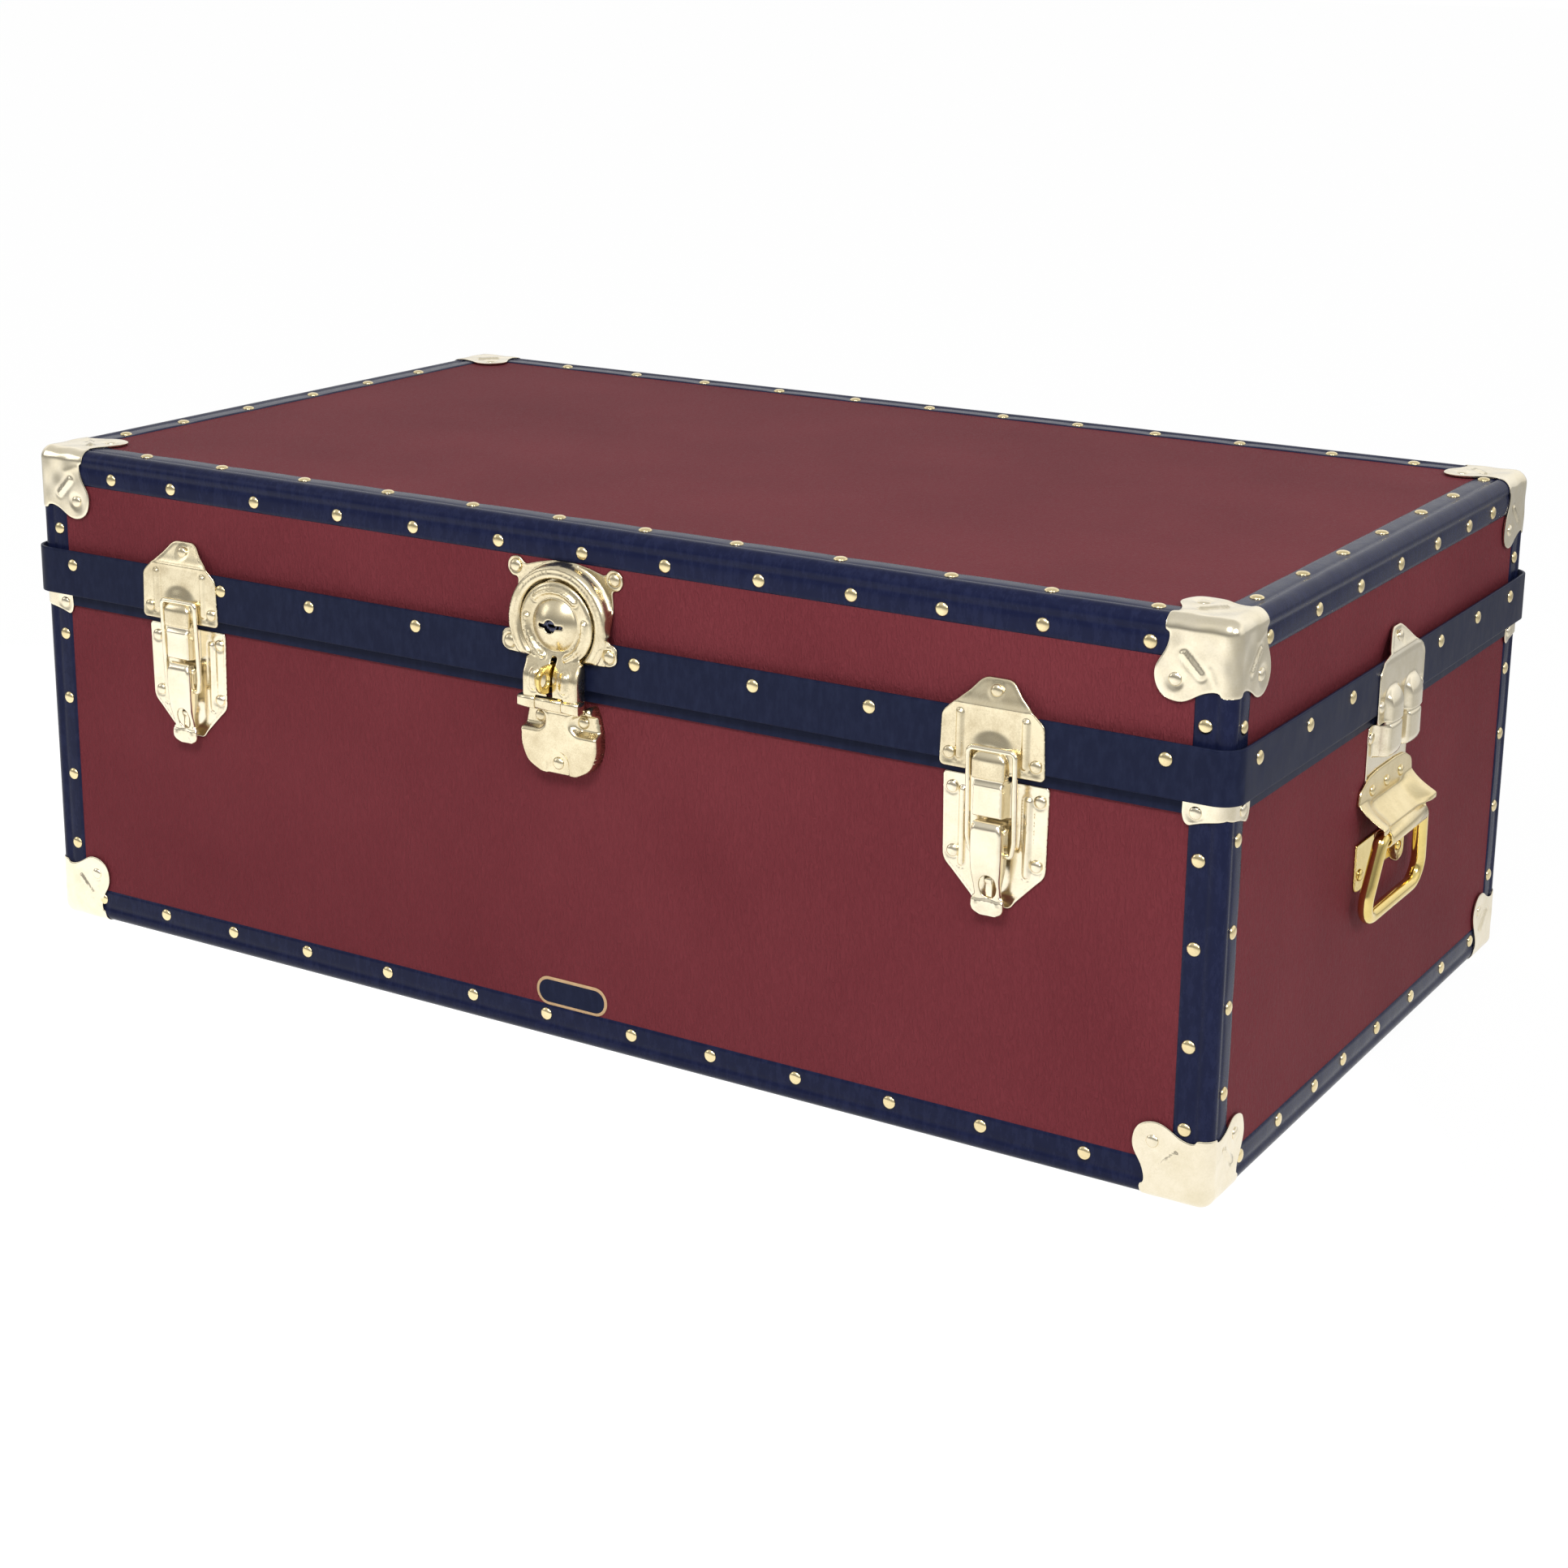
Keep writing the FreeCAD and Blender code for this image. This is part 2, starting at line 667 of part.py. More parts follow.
def sheet_corners(path, skin):
    """The section of a bent sheet: its path, then the path set off to its right by the skin."""
    count = len(path)
    directions = []
    for here, after in zip(path, path[1:]):
        step = turned(after, here, 1, -1)
        length = math.hypot(*step)
        directions.append((step[0] / length, step[1] / length))
    offset = []
    for i, (across, up, radius) in enumerate(path):
        before = directions[max(i - 1, 0)]
        after = directions[min(i, count - 2)]
        normals = ((before[1], -before[0]), (after[1], -after[0]))
        total = turned(normals[0], normals[1], 1, 1)
        scale = skin / (1 + normals[0][0] * normals[1][0] + normals[0][1] * normals[1][1])
        left_turn = before[0] * after[1] - before[1] * after[0] > 0
        grown = radius + skin if left_turn else max(radius - skin, 0)
        outside = grown if radius > 0 else 0
        offset.append((across + total[0] * scale, up + total[1] * scale, outside))
    return list(path) + offset[::-1]


def bent_sheet(path, skin, low_x, high_x):
    """A bent sheet from its section; an upward path is its side towards the trunk."""
    return side_prism(sheet_corners(path, skin), low_x, high_x)


def seated(shape, side, across=0.0):
    """A fitting drawn on the front, moved to its side of the trunk."""
    turns = {"front": 0, "right": 90, "back": 180, "left": 270}
    distance = case_half_depth if side in ("front", "back") else case_half_length
    spin = Rotation(Vector(0, 0, 1), turns[side])
    base = spin.multVec(Vector(across, -distance, 0))
    moved = shape.copy()
    moved.Placement = Placement(base, spin)
    return moved


def publish(name, *shapes):
    """A sub-part made of one or more separate solids."""
    item = doc.addObject("Part::Feature", name)
    item.Label = name
    item.Shape = shapes[0] if len(shapes) == 1 else Part.makeCompound(list(shapes))
    item.Placement = Placement(Vector(0, centre_shift, 0), Rotation()).multiply(item.Placement)
    exported.append(item)
    return item


plate_out = face_out + s.plate
band_plate_out = s.band_out + s.plate


def bead(across, low, high, out):
    """A round-ended rib pressed into a plate whose face is this far out."""
    half = s.front_rib / 2
    ends = mirrored([(half, low, half), (half, high, half)])
    slug = front_prism(ends, out - s.plate, out + s.front_rib_rise)
    slug.translate(Vector(across, 0, 0))
    return slug


# Corner caps: three-lobed pressings over the bindings
CAP_RIB_SHARE = 0.545
DIAGONAL = 45
LOBE_SHARES = [
    (0.866, 0.0, 0.0),
    (0.866, 0.185, 0.0),
    (0.796, 0.185, 0.0),
    (0.80, 0.42, 0.0),
    (1.0, 0.55, 0.13),
    (1.0, 1.0, 0.27),
]


def lobe_corners(scale):
    """The cap's outline on one face, alike about the diagonal from the case's corner."""
    half = [(a * scale, b * scale, r * scale) for a, b, r in LOBE_SHARES]
    return [(0, 0, 0)] + half + [(b, a, r) for a, b, r in reversed(half[:-1])]


def corner_cap():
    """The cap on the left front bottom corner, from the thin shell round the case's block."""
    shell = brass_block.Shape.cut(brass_bore.Shape)
    reach = s.corner_lobe + s.brass
    bend = s.edge_radius + s.brass
    base = Vector(-case_half_length - s.brass, -case_half_depth - s.brass, 0)
    corners = lobe_corners(reach)
    faces = (
        (lambda a, b: Vector(a, 0, b), Vector(0, bend, 0)),
        (lambda a, b: Vector(0, a, b), Vector(bend, 0, 0)),
        (lambda a, b: Vector(a, b, 0), Vector(0, 0, bend)),
    )
    prisms = []
    for to_space, depth in faces:
        prism = Part.Face(outline_wire(corners, to_space)).extrude(depth)
        prism.translate(base)
        prisms.append(shell.common(prism))
    ease = bend * (3 - math.sqrt(3))
    tip = [base + Vector(ease, 0, 0), base + Vector(0, ease, 0), base + Vector(0, 0, ease)]
    point = Part.Face(Part.makePolygon(tip + tip[:1])).extrude(Vector(-ease, -ease, -ease))
    cap = prisms[0].fuse(prisms[1:]).cut(point).removeSplitter()
    centre = s.corner_lobe * CAP_RIB_SHARE
    half, end = s.cap_rib_width / 2, s.cap_rib_length / 2
    across = [(0, -end, 0), (half, half - end, 0), (half, end - half, 0)]
    around = across + [(-a, -b, 0) for a, b, r in across]
    front_rib = front_prism(around, 0, s.brass + s.cap_rib_rise)
    side_rib = front_rib.copy()
    front_rib.rotate(Vector(), Vector(0, 1, 0), -DIAGONAL)
    front_rib.translate(Vector(centre - case_half_length, -case_half_depth, centre))
    side_rib.rotate(Vector(), Vector(0, 1, 0), DIAGONAL)
    side_rib.rotate(Vector(), Vector(0, 0, 1), -2 * DIAGONAL)
    side_rib.translate(Vector(-case_half_length, centre - case_half_depth, centre))
    return cap.fuse([front_rib, side_rib]).removeSplitter()


middle_height = s.case_top / 2 + s.brass / 2


def in_corners(shape, levels):
    """Copies of a left front bottom piece at the four corners of one or both levels."""
    copies = []
    for level in levels:
        low = shape
        if level == "high":
            low = shape.mirror(Vector(0, 0, middle_height), Vector(0, 0, 1))
        right = low.mirror(Vector(), Vector(1, 0, 0))
        for piece in (low, right):
            copies.append(piece)
            copies.append(piece.mirror(Vector(), Vector(0, 1, 0)))
    return copies


cap = corner_cap()
publish("base_corner_caps", *in_corners(cap, ["low"]))
publish("lid_corner_caps", *in_corners(cap, ["high"]))


def band_clip():
    """A brass angle on the left front upright edge, just under the lid band."""
    shell = brass_block.Shape.cut(brass_bore.Shape)
    reach = s.clip_reach + s.brass
    rise = (s.clip_high - s.clip_low) / 3
    corners = [
        (0, s.clip_low + rise, 0),
        (reach, s.clip_low, rise),
        (reach, s.clip_high, rise / 2),
        (0, s.clip_high, 0),
    ]
    base = Vector(-case_half_length - s.brass, -case_half_depth - s.brass, 0)
    bend = s.edge_radius + s.brass
    legs = []
    for to_space, depth in (
        (lambda a, b: Vector(a, 0, b), Vector(0, bend, 0)),
        (lambda a, b: Vector(0, a, b), Vector(bend, 0, 0)),
    ):
        prism = Part.Face(outline_wire(corners, to_space)).extrude(depth)
        prism.translate(base)
        legs.append(shell.common(prism))
    return legs[0].fuse(legs[1]).removeSplitter()


publish("band_clips", *in_corners(band_clip(), ["low"]))


# Keepers on the lid band: a plate with open-bottomed domes that drop over dowels on the base
def keeper_plate(width, shares, top_out):
    """A plate flat on the band that leans back towards the lid above its crease."""
    path = [
        (s.band_out, s.keeper_low, 0),
        (s.band_out, s.keeper_crease, s.plate),
        (top_out, s.keeper_high, 0),
    ]
    rise = s.keeper_high - s.keeper_low
    half = [(a * width, s.keeper_low + b * rise, r * width) for a, b, r in shares]
    plate = bent_sheet(path, s.plate, -width, width)
    return plate.common(front_prism(mirrored(half), face_out, s.dome_front * 2))


def dome(width, low, top, front, root_top, skin):
    """A hollow dome over the plate, as its outer and inner solids."""
    half = width / 2
    root = s.band_out
    side = [
        (root, low, 0),
        (front, low, 0),
        (front, top - (front - root) / 3, (front - root) / 2),
        (root + s.plate + skin, top, skin / 2),
        (root + s.plate, root_top, 0),
        (root, root_top, 0),
    ]
    plan = [(half, root, 0), (half, front, (front - root) / 2)]
    outer = side_prism(side, -width, width).common(plan_prism(mirrored(plan), low, root_top))
    deep = low - skin
    inner_side = [
        (root - skin, deep, 0),
        (front - skin, deep, 0),
        (front - skin, top - skin - (front - root) / 3, (front - root) / 2 - skin),
        (root + s.plate, top - skin, 0),
        (root - skin, top - skin, 0),
    ]
    inner_round = (front - root) / 2 - skin
    inner_plan = [(half - skin, root - skin, 0), (half - skin, front - skin, inner_round)]
    inner = side_prism(inner_side, -width, width)
    return outer, inner.common(plan_prism(mirrored(inner_plan), deep, root_top))


def keeper(width, shares, dome_places, dome_width, low, top, front, root_top):
    """A keeper plate with its domes, hollow and open below."""
    plate = keeper_plate(width, shares, s.binding_skin)
    outers, inners = [], []
    for place in dome_places:
        outer, inner = dome(dome_width, low, top, front, root_top, s.plate)
        outer.translate(Vector(place, 0, 0))
        inner.translate(Vector(place, 0, 0))
        outers.append(outer)
        inners.append(inner)
    return plate.fuse(outers).cut(inners).removeSplitter()


def dowel(width, foot, waist, top, front, tip_width):
    """A pressed dowel: a broad foot on the base plate and a narrower tip inside the dome."""
    half, tip = width / 2, tip_width / 2
    round_off = (front - plate_out) / 3
    foot_side = [
        (face_out, foot, 0),
        (plate_out + round_off, foot, 0),
        (front, foot + 2 * round_off, round_off),
        (front, waist, 0),
        (s.band_out + s.play, waist, 0),
        (s.binding_skin, s.latch_high, 0),
        (face_out, s.latch_high, 0),
    ]
    foot_plan = [(half, face_out, 0), (half, front, round_off)]
    body = side_prism(foot_side, -half, half).common(plan_prism(mirrored(foot_plan), foot, waist))
    tip_front = front - s.plate - s.play
    tip_side = [
        (s.band_out + s.play, waist, 0),
        (tip_front, waist, 0),
        (tip_front, top, round_off),
        (s.band_out + s.play, top, 0),
    ]
    tip_plan = [(tip, s.band_out, 0), (tip, tip_front, round_off)]
    end = side_prism(tip_side, -half, half).common(plan_prism(mirrored(tip_plan), waist, top))
    return body.fuse(end)


# Draw latches: keeper on the lid, plate, pin, lever and wire loop on the base
RIB_SHARE = 0.31
LUG_SHARE = 0.5
LOOP_TURN_SHARE = 0.9
KEEPER_SHARES = [(0.5, 0.0, 0.03), (0.485, 0.615, 0.07), (0.35, 0.715, 0.12), (0.175, 1.0, 0.13)]
LATCH_SHARES = [(0.195, 0.0, 0.09), (0.27, 0.145, 0.10), (0.475, 0.31, 0.10), (0.5, 1.0, 0.03)]


def latch_keeper():
    plate = keeper(
        s.keeper_width,
        KEEPER_SHARES,
        [0.0],
        s.dome_width,
        s.dome_low,
        s.dome_top,
        s.dome_front,
        s.dome_root,
    )
    place = s.keeper_width * RIB_SHARE
    low = s.keeper_low + s.front_rib
    high = s.keeper_crease - s.front_rib
    ribs = [bead(sign * place, low, high, band_plate_out) for sign in (-1, 1)]
    return plate.fuse(ribs).removeSplitter()


def latch_plate():
    """The plate on the base, with its dowel, ribs, the lug for the pin and a small staple."""
    rise = s.latch_high - s.latch_low
    width = s.latch_width
    half = [(a * width, s.latch_low + b * rise, r * width) for a, b, r in LATCH_SHARES]
    plate = front_prism(mirrored(half), face_out, plate_out)
    tip_width = s.dome_width - 2 * s.plate - 2 * s.play
    waist = s.dome_low - s.play
    parts = [dowel(s.dome_width, s.dowel_low, waist, s.dowel_high, s.dome_front, tip_width)]
    for sign in (-1, 1):
        low, high = s.latch_shoulder - s.front_rib, s.latch_high - 2 * s.front_rib
        parts.append(bead(sign * width * RIB_SHARE, low, high, plate_out))
    half_lug = s.lever_width * LUG_SHARE / 2
    curl = s.latch_pin + s.pin_play + s.lever_skin
    lug_path = [
        (plate_out - s.plate / 2, s.dowel_low, 0),
        (s.lever_pivot_out - curl, s.lever_pivot_up + curl / 2, 0),
        (s.lever_pivot_out, s.lever_pivot_up, 0),
    ]
    lug_path.reverse()
    parts.append(bent_sheet(lug_path, s.lever_skin, -half_lug, half_lug))
    parts.append(bar(s.lever_pivot_out, s.lever_pivot_up, curl, -half_lug, half_lug))
    strap = s.strap_width / 2
    strap_path = [
        (face_out, s.lever_hole_up - s.strap_rise / 2, 0),
        (s.strap_out, s.lever_hole_up - s.strap_rise / 2, s.plate),
        (s.strap_out, s.lever_hole_up + s.strap_rise / 2, s.plate),
        (face_out, s.lever_hole_up + s.strap_rise / 2, 0),
    ]
    strap_path.reverse()
    parts.append(bent_sheet(strap_path, s.plate, -strap, strap))
    hole = bore(
        s.lever_pivot_out, s.lever_pivot_up, s.latch_pin + s.pin_play, -s.lever_width, s.lever_width
    )
    return plate.fuse(parts).cut(hole).removeSplitter()


eye_up = s.lever_pivot_up - s.loop_eye_drop
eye_out = s.lever_pivot_out


def latch_pin():
    """The lever's pin, its ends flush with the cheeks."""
    half = s.lever_width / 2
    return pin(s.lever_pivot_out, s.lever_pivot_up, s.latch_pin, -half, half)


def latch_lever():
    """The lever: a curved front sheet between two cheeks that turn on the pin."""
    half = s.lever_width / 2
    front = s.lever_front - s.lever_skin
    path = [
        (s.lever_tail_out, s.lever_tail, 0),
        (s.lever_neck_out, s.lever_neck_up, s.lever_skin * 2),
        (s.lever_neck_out + s.lever_skin * 2, s.lever_neck_up + s.lever_skin * 5, s.lever_skin * 4),
        (front, eye_up, s.lever_bow),
        (front, s.lever_pivot_up, 0),
    ]
    sheet = bent_sheet(path, s.lever_skin, -half, half)
    lip = [(half, s.lever_tail, half / 2), (half, s.lever_pivot_up, 0)]
    sheet = sheet.common(front_prism(mirrored(lip), face_out, s.lever_front * 2))
    round_end = s.lever_roll
    inner = s.lever_pivot_out - round_end
    cheek_corners = [
        (s.lever_neck_out, s.lever_neck_up + s.lever_skin * 2, 0),
        (s.lever_neck_out + s.lever_skin * 2, s.lever_neck_up + s.lever_skin * 5, 0),
        (front, eye_up, s.lever_bow),
        (s.lever_front, s.lever_pivot_up + s.lever_skin, s.lever_skin * 2),
        (s.lever_pivot_out, s.lever_pivot_up + round_end, round_end / 2),
        (inner, s.lever_pivot_up + round_end / 2, round_end / 2),
        (inner, eye_up - round_end / 2, round_end),
    ]
    cheeks = []
    for low in (-half, half - s.lever_skin):
        cheeks.append(side_prism(cheek_corners, low, low + s.lever_skin))
    lever = sheet.fuse(cheeks)
    hole = [
        (s.lever_hole / 2, s.lever_hole_up - s.lever_hole_rise / 2, s.lever_hole / 2),
        (s.lever_hole / 2, s.lever_hole_up + s.lever_hole_rise / 2, s.lever_hole / 2),
    ]
    tools = [
        front_prism(mirrored(hole), 0, s.lever_front * 2),
        bore(s.lever_pivot_out, s.lever_pivot_up, s.latch_pin + s.pin_play, -half * 2, half * 2),
        bore(eye_out, eye_up, s.loop_wire / 2 + s.pin_play, -half * 2, half * 2),
    ]
    return lever.cut(tools).removeSplitter()


def wire_sweep(corners, to_space, radius, closed, sides):
    """A wire of a many-sided section along a rounded outline."""
    path = outline_wire(corners, to_space, closed)
    first = path.Edges[0]
    start = first.valueAt(first.FirstParameter)
    along = first.tangentAt(first.FirstParameter)
    spoke = along.cross(Vector(0, 1, 0)).normalize() * radius
    spokes = [Rotation(along, 360 * (i + 0.5) / sides).multVec(spoke) for i in range(sides)]
    section = Part.makePolygon([start + arm for arm in spokes + spokes[:1]])
    return path.makePipeShell([section], True, False, 1)


def latch_loop():
    """The wire loop: its ends turn in through the lever's cheeks, its bar hooks over the dome."""
    lean_out, lean_up = s.loop_bar_out - eye_out, s.loop_bar_up - eye_up
    length = math.hypot(lean_out, lean_up)
    along = (lean_out / length, lean_up / length)

    def to_space(across, up):
        return Vector(across, -eye_out - along[0] * up, eye_up + along[1] * up)

    half = (s.loop_width - s.loop_wire) / 2
    stub = s.lever_width / 2 - s.lever_skin
    turn = s.loop_wire * LOOP_TURN_SHARE
    corners = [
        (-stub, 0, 0),
        (-half, 0, turn),
        (-half, length, s.loop_bend),
        (half, length, s.loop_bend),
        (half, 0, turn),
        (stub, 0, 0),
    ]
    return wire_sweep(corners, to_space, s.loop_wire / 2, False, LOOP_SIDES)


for side, place in (("left", s.latch_left), ("right", s.latch_right)):
    publish("latch_keeper_" + side, seated(latch_keeper(), "front", place))
    publish("latch_plate_" + side, seated(latch_plate(), "front", place))
    publish("latch_lever_" + side, seated(latch_lever(), "front", place))
    publish("latch_loop_" + side, seated(latch_loop(), "front", place))
pins = [seated(latch_pin(), "front", place) for place in (s.latch_left, s.latch_right)]
publish("latch_pins", *pins)


# Lock: an eared plate with an arched bead on the lid, a staple, a hasp and a pan on the base
EAR_WAIST_SHARE = 0.9
ARCH_BEVEL_SHARE = 0.28
STAPLE_FOOT_SHARE = 0.6
DISC_SHOULDER_SHARE = 0.82
KNUCKLE_SHARE = 0.42
PLUG_SLOT_SHARE = 0.7
PAN_SHARES = [(0.42, 0.0, 0.5), (0.98, 0.42, 0.9), (1.0, 0.75, 0.4), (0.84, 1.0, 0.08)]
POCKET_SHARE = 0.6
FOOT_POCKET_SHARE = 0.37


def lock_lid_plate():
    """The eared plate: flat on the band, stepping back to the lid above it."""
    half_ears = s.ear_span / 2
    path = [
        (s.band_out, s.lock_plate_low, 0),
        (s.band_out, s.band_high + s.plate, s.plate),
        (0, s.arch_centre + s.arch_inner / 2, s.plate),
        (0, s.ear_high + 2 * s.ear_radius, 0),
    ]
    plate = bent_sheet(path, s.plate, -s.ear_span, s.ear_span)
    waist = half_ears * EAR_WAIST_SHARE
    half = [
        (half_ears + s.ear_radius, s.lock_plate_low, s.ear_radius / 2),
        (half_ears + s.ear_radius, s.ear_low + s.ear_radius, s.ear_radius),
        (waist, s.ear_low + 2 * s.ear_radius, s.ear_radius / 2),
        (waist, s.ear_high - s.ear_radius, s.ear_radius / 2),
        (half_ears + s.ear_radius, s.ear_high - s.ear_radius, s.ear_radius),
        (half_ears + s.ear_radius, s.ear_high + s.ear_radius, s.ear_radius),
        (waist, s.ear_high + s.ear_radius / 2, 2 * s.ear_radius),
    ]
    plate = plate.common(front_prism(mirrored(half), face_out, s.staple_out))
    crest = s.band_out + s.arch_rise
    bevel = (s.arch_outer - s.arch_inner) * ARCH_BEVEL_SHARE
    ring = turned_piece(
        [
            (s.arch_inner, 0, 0),
            (s.arch_outer, 0, 0),
            (s.arch_outer, crest - bevel, 0),
            (s.arch_outer - bevel, crest, 0),
            (s.arch_inner + bevel, crest, 0),
            (s.arch_inner, crest - bevel, 0),
        ],
        s.arch_centre,
        ARCH_SIDES,
    )
    wide = 2 * s.arch_outer
    over_band = s.band_high + s.plate
    gap = s.tongue_width / 2 + 2 * s.play
    tools = [
        side_prism(
            [(-wide, 0, 0), (wide, 0, 0), (wide, s.lock_plate_low, 0), (-wide, s.lock_plate_low, 0)],
            -wide,
            wide,
        ),
        side_prism(
            [(-wide, 0, 0), (s.band_out, 0, 0), (s.band_out, over_band, 0), (-wide, over_band, 0)],
            -wide,
            wide,
        ),
        side_prism(
            [
                (s.band_out + s.plate, 0, 0),
                (wide, 0, 0),
                (wide, s.arch_centre - s.arch_inner / 2, 0),
                (s.band_out + s.plate, s.arch_centre - s.arch_inner / 2, 0),
            ],
            -gap,
            gap,
        ),
    ]
    return plate.fuse(ring.cut(tools)).removeSplitter()


def padlock_staple():
    """A half-round eye on a foot plate, riveted to the band below the lock plate."""
    half = s.staple_skin / 2
    round_off = (s.staple_high - s.staple_low) / 2
    eye = [
        (s.band_out, s.band_low + s.play, 0),
        (s.hasp_axis_out, s.staple_low, 0),
        (s.staple_out, s.staple_low, round_off),
        (s.staple_out, s.staple_high, round_off),
        (s.band_out, s.staple_high, 0),
    ]
    plate = side_prism(eye, -half, half)
    middle = (s.staple_low + s.staple_high) / 2
    centre = Vector(-s.staple_skin, -s.staple_hole_out, middle)
    hole = Part.makeCylinder(s.staple_hole, 2 * s.staple_skin, centre, Vector(1, 0, 0))
    foot_half = s.tongue_width * STAPLE_FOOT_SHARE / 2
    foot = [
        (foot_half, s.band_low + s.play, s.plate),
        (foot_half, s.lock_plate_low - s.play, s.plate),
    ]
    base = front_prism(mirrored(foot), s.band_out, band_plate_out)
    return plate.cut(hole).fuse(base).removeSplitter()


def hasp():
    """The hasp: a dished round head with a domed disc, and a channel down to its barrel."""
    face, rim = s.hasp_head_out, band_plate_out + s.play
    disc, rise = s.disc_radius, s.disc_rise
    path = [
        (0, face + rise + s.hasp_skin, 0),
        (disc / 2, face + rise + s.hasp_skin, 0),
        (disc * DISC_SHOULDER_SHARE, face + rise - s.hasp_skin, 0),
        (disc, face, 0),
        (s.hasp_radius - s.hasp_skin, face, 0),
        (s.hasp_radius, face - s.hasp_skin, 0),
        (s.hasp_radius, rim, 0),
    ]
    head = turned_piece(sheet_corners(path, s.hasp_skin), s.arch_centre, HEAD_SIDES)
    half = s.tongue_width / 2
    back = s.hasp_face_out - s.hasp_skin
    join = s.arch_centre - disc - s.hasp_skin
    start = s.hasp_axis_up + s.hasp_barrel / 2
    bend = (start + join) / 2
    tongue_path = [
        (back, start, 0),
        (back, bend, s.hasp_barrel),
        (face - s.hasp_skin, join - s.hasp_barrel, s.hasp_barrel),
        (face - s.hasp_skin, join, 0),
    ]
    tongue = bent_sheet(tongue_path, s.hasp_skin, -half, half)
    cheek = [
        (face - 2 * s.hasp_skin, join - s.hasp_barrel, 0),
        (s.hasp_axis_out - s.hasp_barrel, start, 0),
        (s.hasp_face_out, start, 0),
        (s.hasp_face_out, bend, s.hasp_barrel),
        (face, join - s.hasp_barrel, 0),
    ]
    pieces = [tongue]
    for low in (-half, half - s.hasp_skin):
        pieces.append(side_prism(cheek, low, low + s.hasp_skin))
    barrel_half = s.hasp_barrel_width / 2
    pieces.append(bar(s.hasp_axis_out, s.hasp_axis_up, s.hasp_barrel, -barrel_half, barrel_half))
    knuckle = barrel_half * KNUCKLE_SHARE
    gap = side_prism(
        [
            (0, 0, 0),
            (2 * s.staple_out, 0, 0),
            (2 * s.staple_out, s.hasp_axis_up + s.hasp_barrel + s.play, 0),
            (0, s.hasp_axis_up + s.hasp_barrel + s.play, 0),
        ],
        -knuckle - s.play,
        knuckle + s.play,
    )
    slot = s.slot_width / 2
    deep = s.staple_out * 2
    key = s.key_slot_height / 2
    key_half = s.key_slot_length / 2
    tools = [
        gap,
        bore(s.hasp_axis_out, s.hasp_axis_up, s.hasp_pin + s.pin_play, -deep, deep),
        front_prism(mirrored([(slot, s.slot_low, 0), (slot, s.slot_high, 0)]), 0, deep),
        stud(0, s.arch_centre, (s.plug_radius + s.pin_play) / math.cos(math.pi / SIDES), 0, deep),
        front_prism(
            mirrored([(key_half, s.arch_centre - key, 0), (key_half, s.arch_centre + key, 0)]), face, deep
        ),
    ]
    return head.fuse(pieces).cut(tools).removeSplitter()


def lock_plug():
    """The key plug, turning in the hasp's head, with its bolt behind."""
    top = s.hasp_head_out + s.disc_rise
    low = band_plate_out + s.play
    back = Vector(0, -low, s.arch_centre)
    plug = Part.makeCylinder(s.plug_radius, top - low, back, Vector(0, -1, 0))
    key = s.key_slot_height / 4
    reach = s.plug_radius * PLUG_SLOT_SHARE
    slot_corners = mirrored([(reach, s.arch_centre - key, 0), (reach, s.arch_centre + key, 0)])
    slot = front_prism(slot_corners, top - 2 * s.plate, top + s.plate)
    bolt = [(s.plug_radius / 2, -2 * s.plug_radius, s.plug_radius / 2), (s.plug_radius / 2, 0, 0)]
    arm = front_prism(mirrored(bolt), low, low + s.hasp_skin)
    arm.translate(Vector(0, 0, s.arch_centre))
    return plug.cut(slot).fuse(arm).removeSplitter()


def lock_base_plate():
    """The round-bottomed pan on the base, its rivet pockets and the middle knuckle."""
    half = s.pan_width / 2
    rise = s.pan_high - s.pan_low
    outline = mirrored([(half * a, s.pan_low + rise * b, half * r) for a, b, r in PAN_SHARES])
    floor = front_prism(outline, face_out, plate_out)
    body = front_prism(outline, plate_out, s.pan_depth)
    pocket = s.pan_pocket / 2
    side_pocket = [
        (pocket - s.play, s.pan_low + rise * POCKET_SHARE, pocket),
        (2 * half, s.pan_low + rise * POCKET_SHARE, 0),
        (2 * half, 2 * s.pan_high, 0),
        (pocket - s.play, 2 * s.pan_high, 0),
    ]
    other = [(-a, b, r) for a, b, r in side_pocket]
    foot = [(pocket, 0, 0), (pocket, s.pan_low + rise * FOOT_POCKET_SHARE, pocket)]
    tools = [
        front_prism(side_pocket, plate_out, 2 * s.pan_depth),
        front_prism(other, plate_out, 2 * s.pan_depth),
        front_prism(mirrored(foot), plate_out, 2 * s.pan_depth),
    ]
    knuckle = s.hasp_barrel_width / 2 * KNUCKLE_SHARE
    neck = [
        (plate_out, s.pan_high - s.pan_depth, 0),
        (s.pan_depth, s.pan_high - s.pan_depth, 0),
        (s.hasp_axis_out + s.hasp_barrel, s.hasp_axis_up, 0),
        (s.hasp_axis_out, s.hasp_axis_up + s.hasp_barrel, 0),
        (plate_out, s.pan_high, 0),
    ]
    pieces = [
        body.cut(tools),
        side_prism(neck, -knuckle, knuckle),
        bar(s.hasp_axis_out, s.hasp_axis_up, s.hasp_barrel, -knuckle, knuckle),
    ]
    deep = s.staple_out
    hole = bore(s.hasp_axis_out, s.hasp_axis_up, s.hasp_pin + s.pin_play, -deep, deep)
    return floor.fuse(pieces).cut(hole).removeSplitter()


def hasp_pin():
    """The hasp's hinge pin, its ends flush with the barrel."""
    half = s.hasp_barrel_width / 2
    return pin(s.hasp_axis_out, s.hasp_axis_up, s.hasp_pin, -half, half)


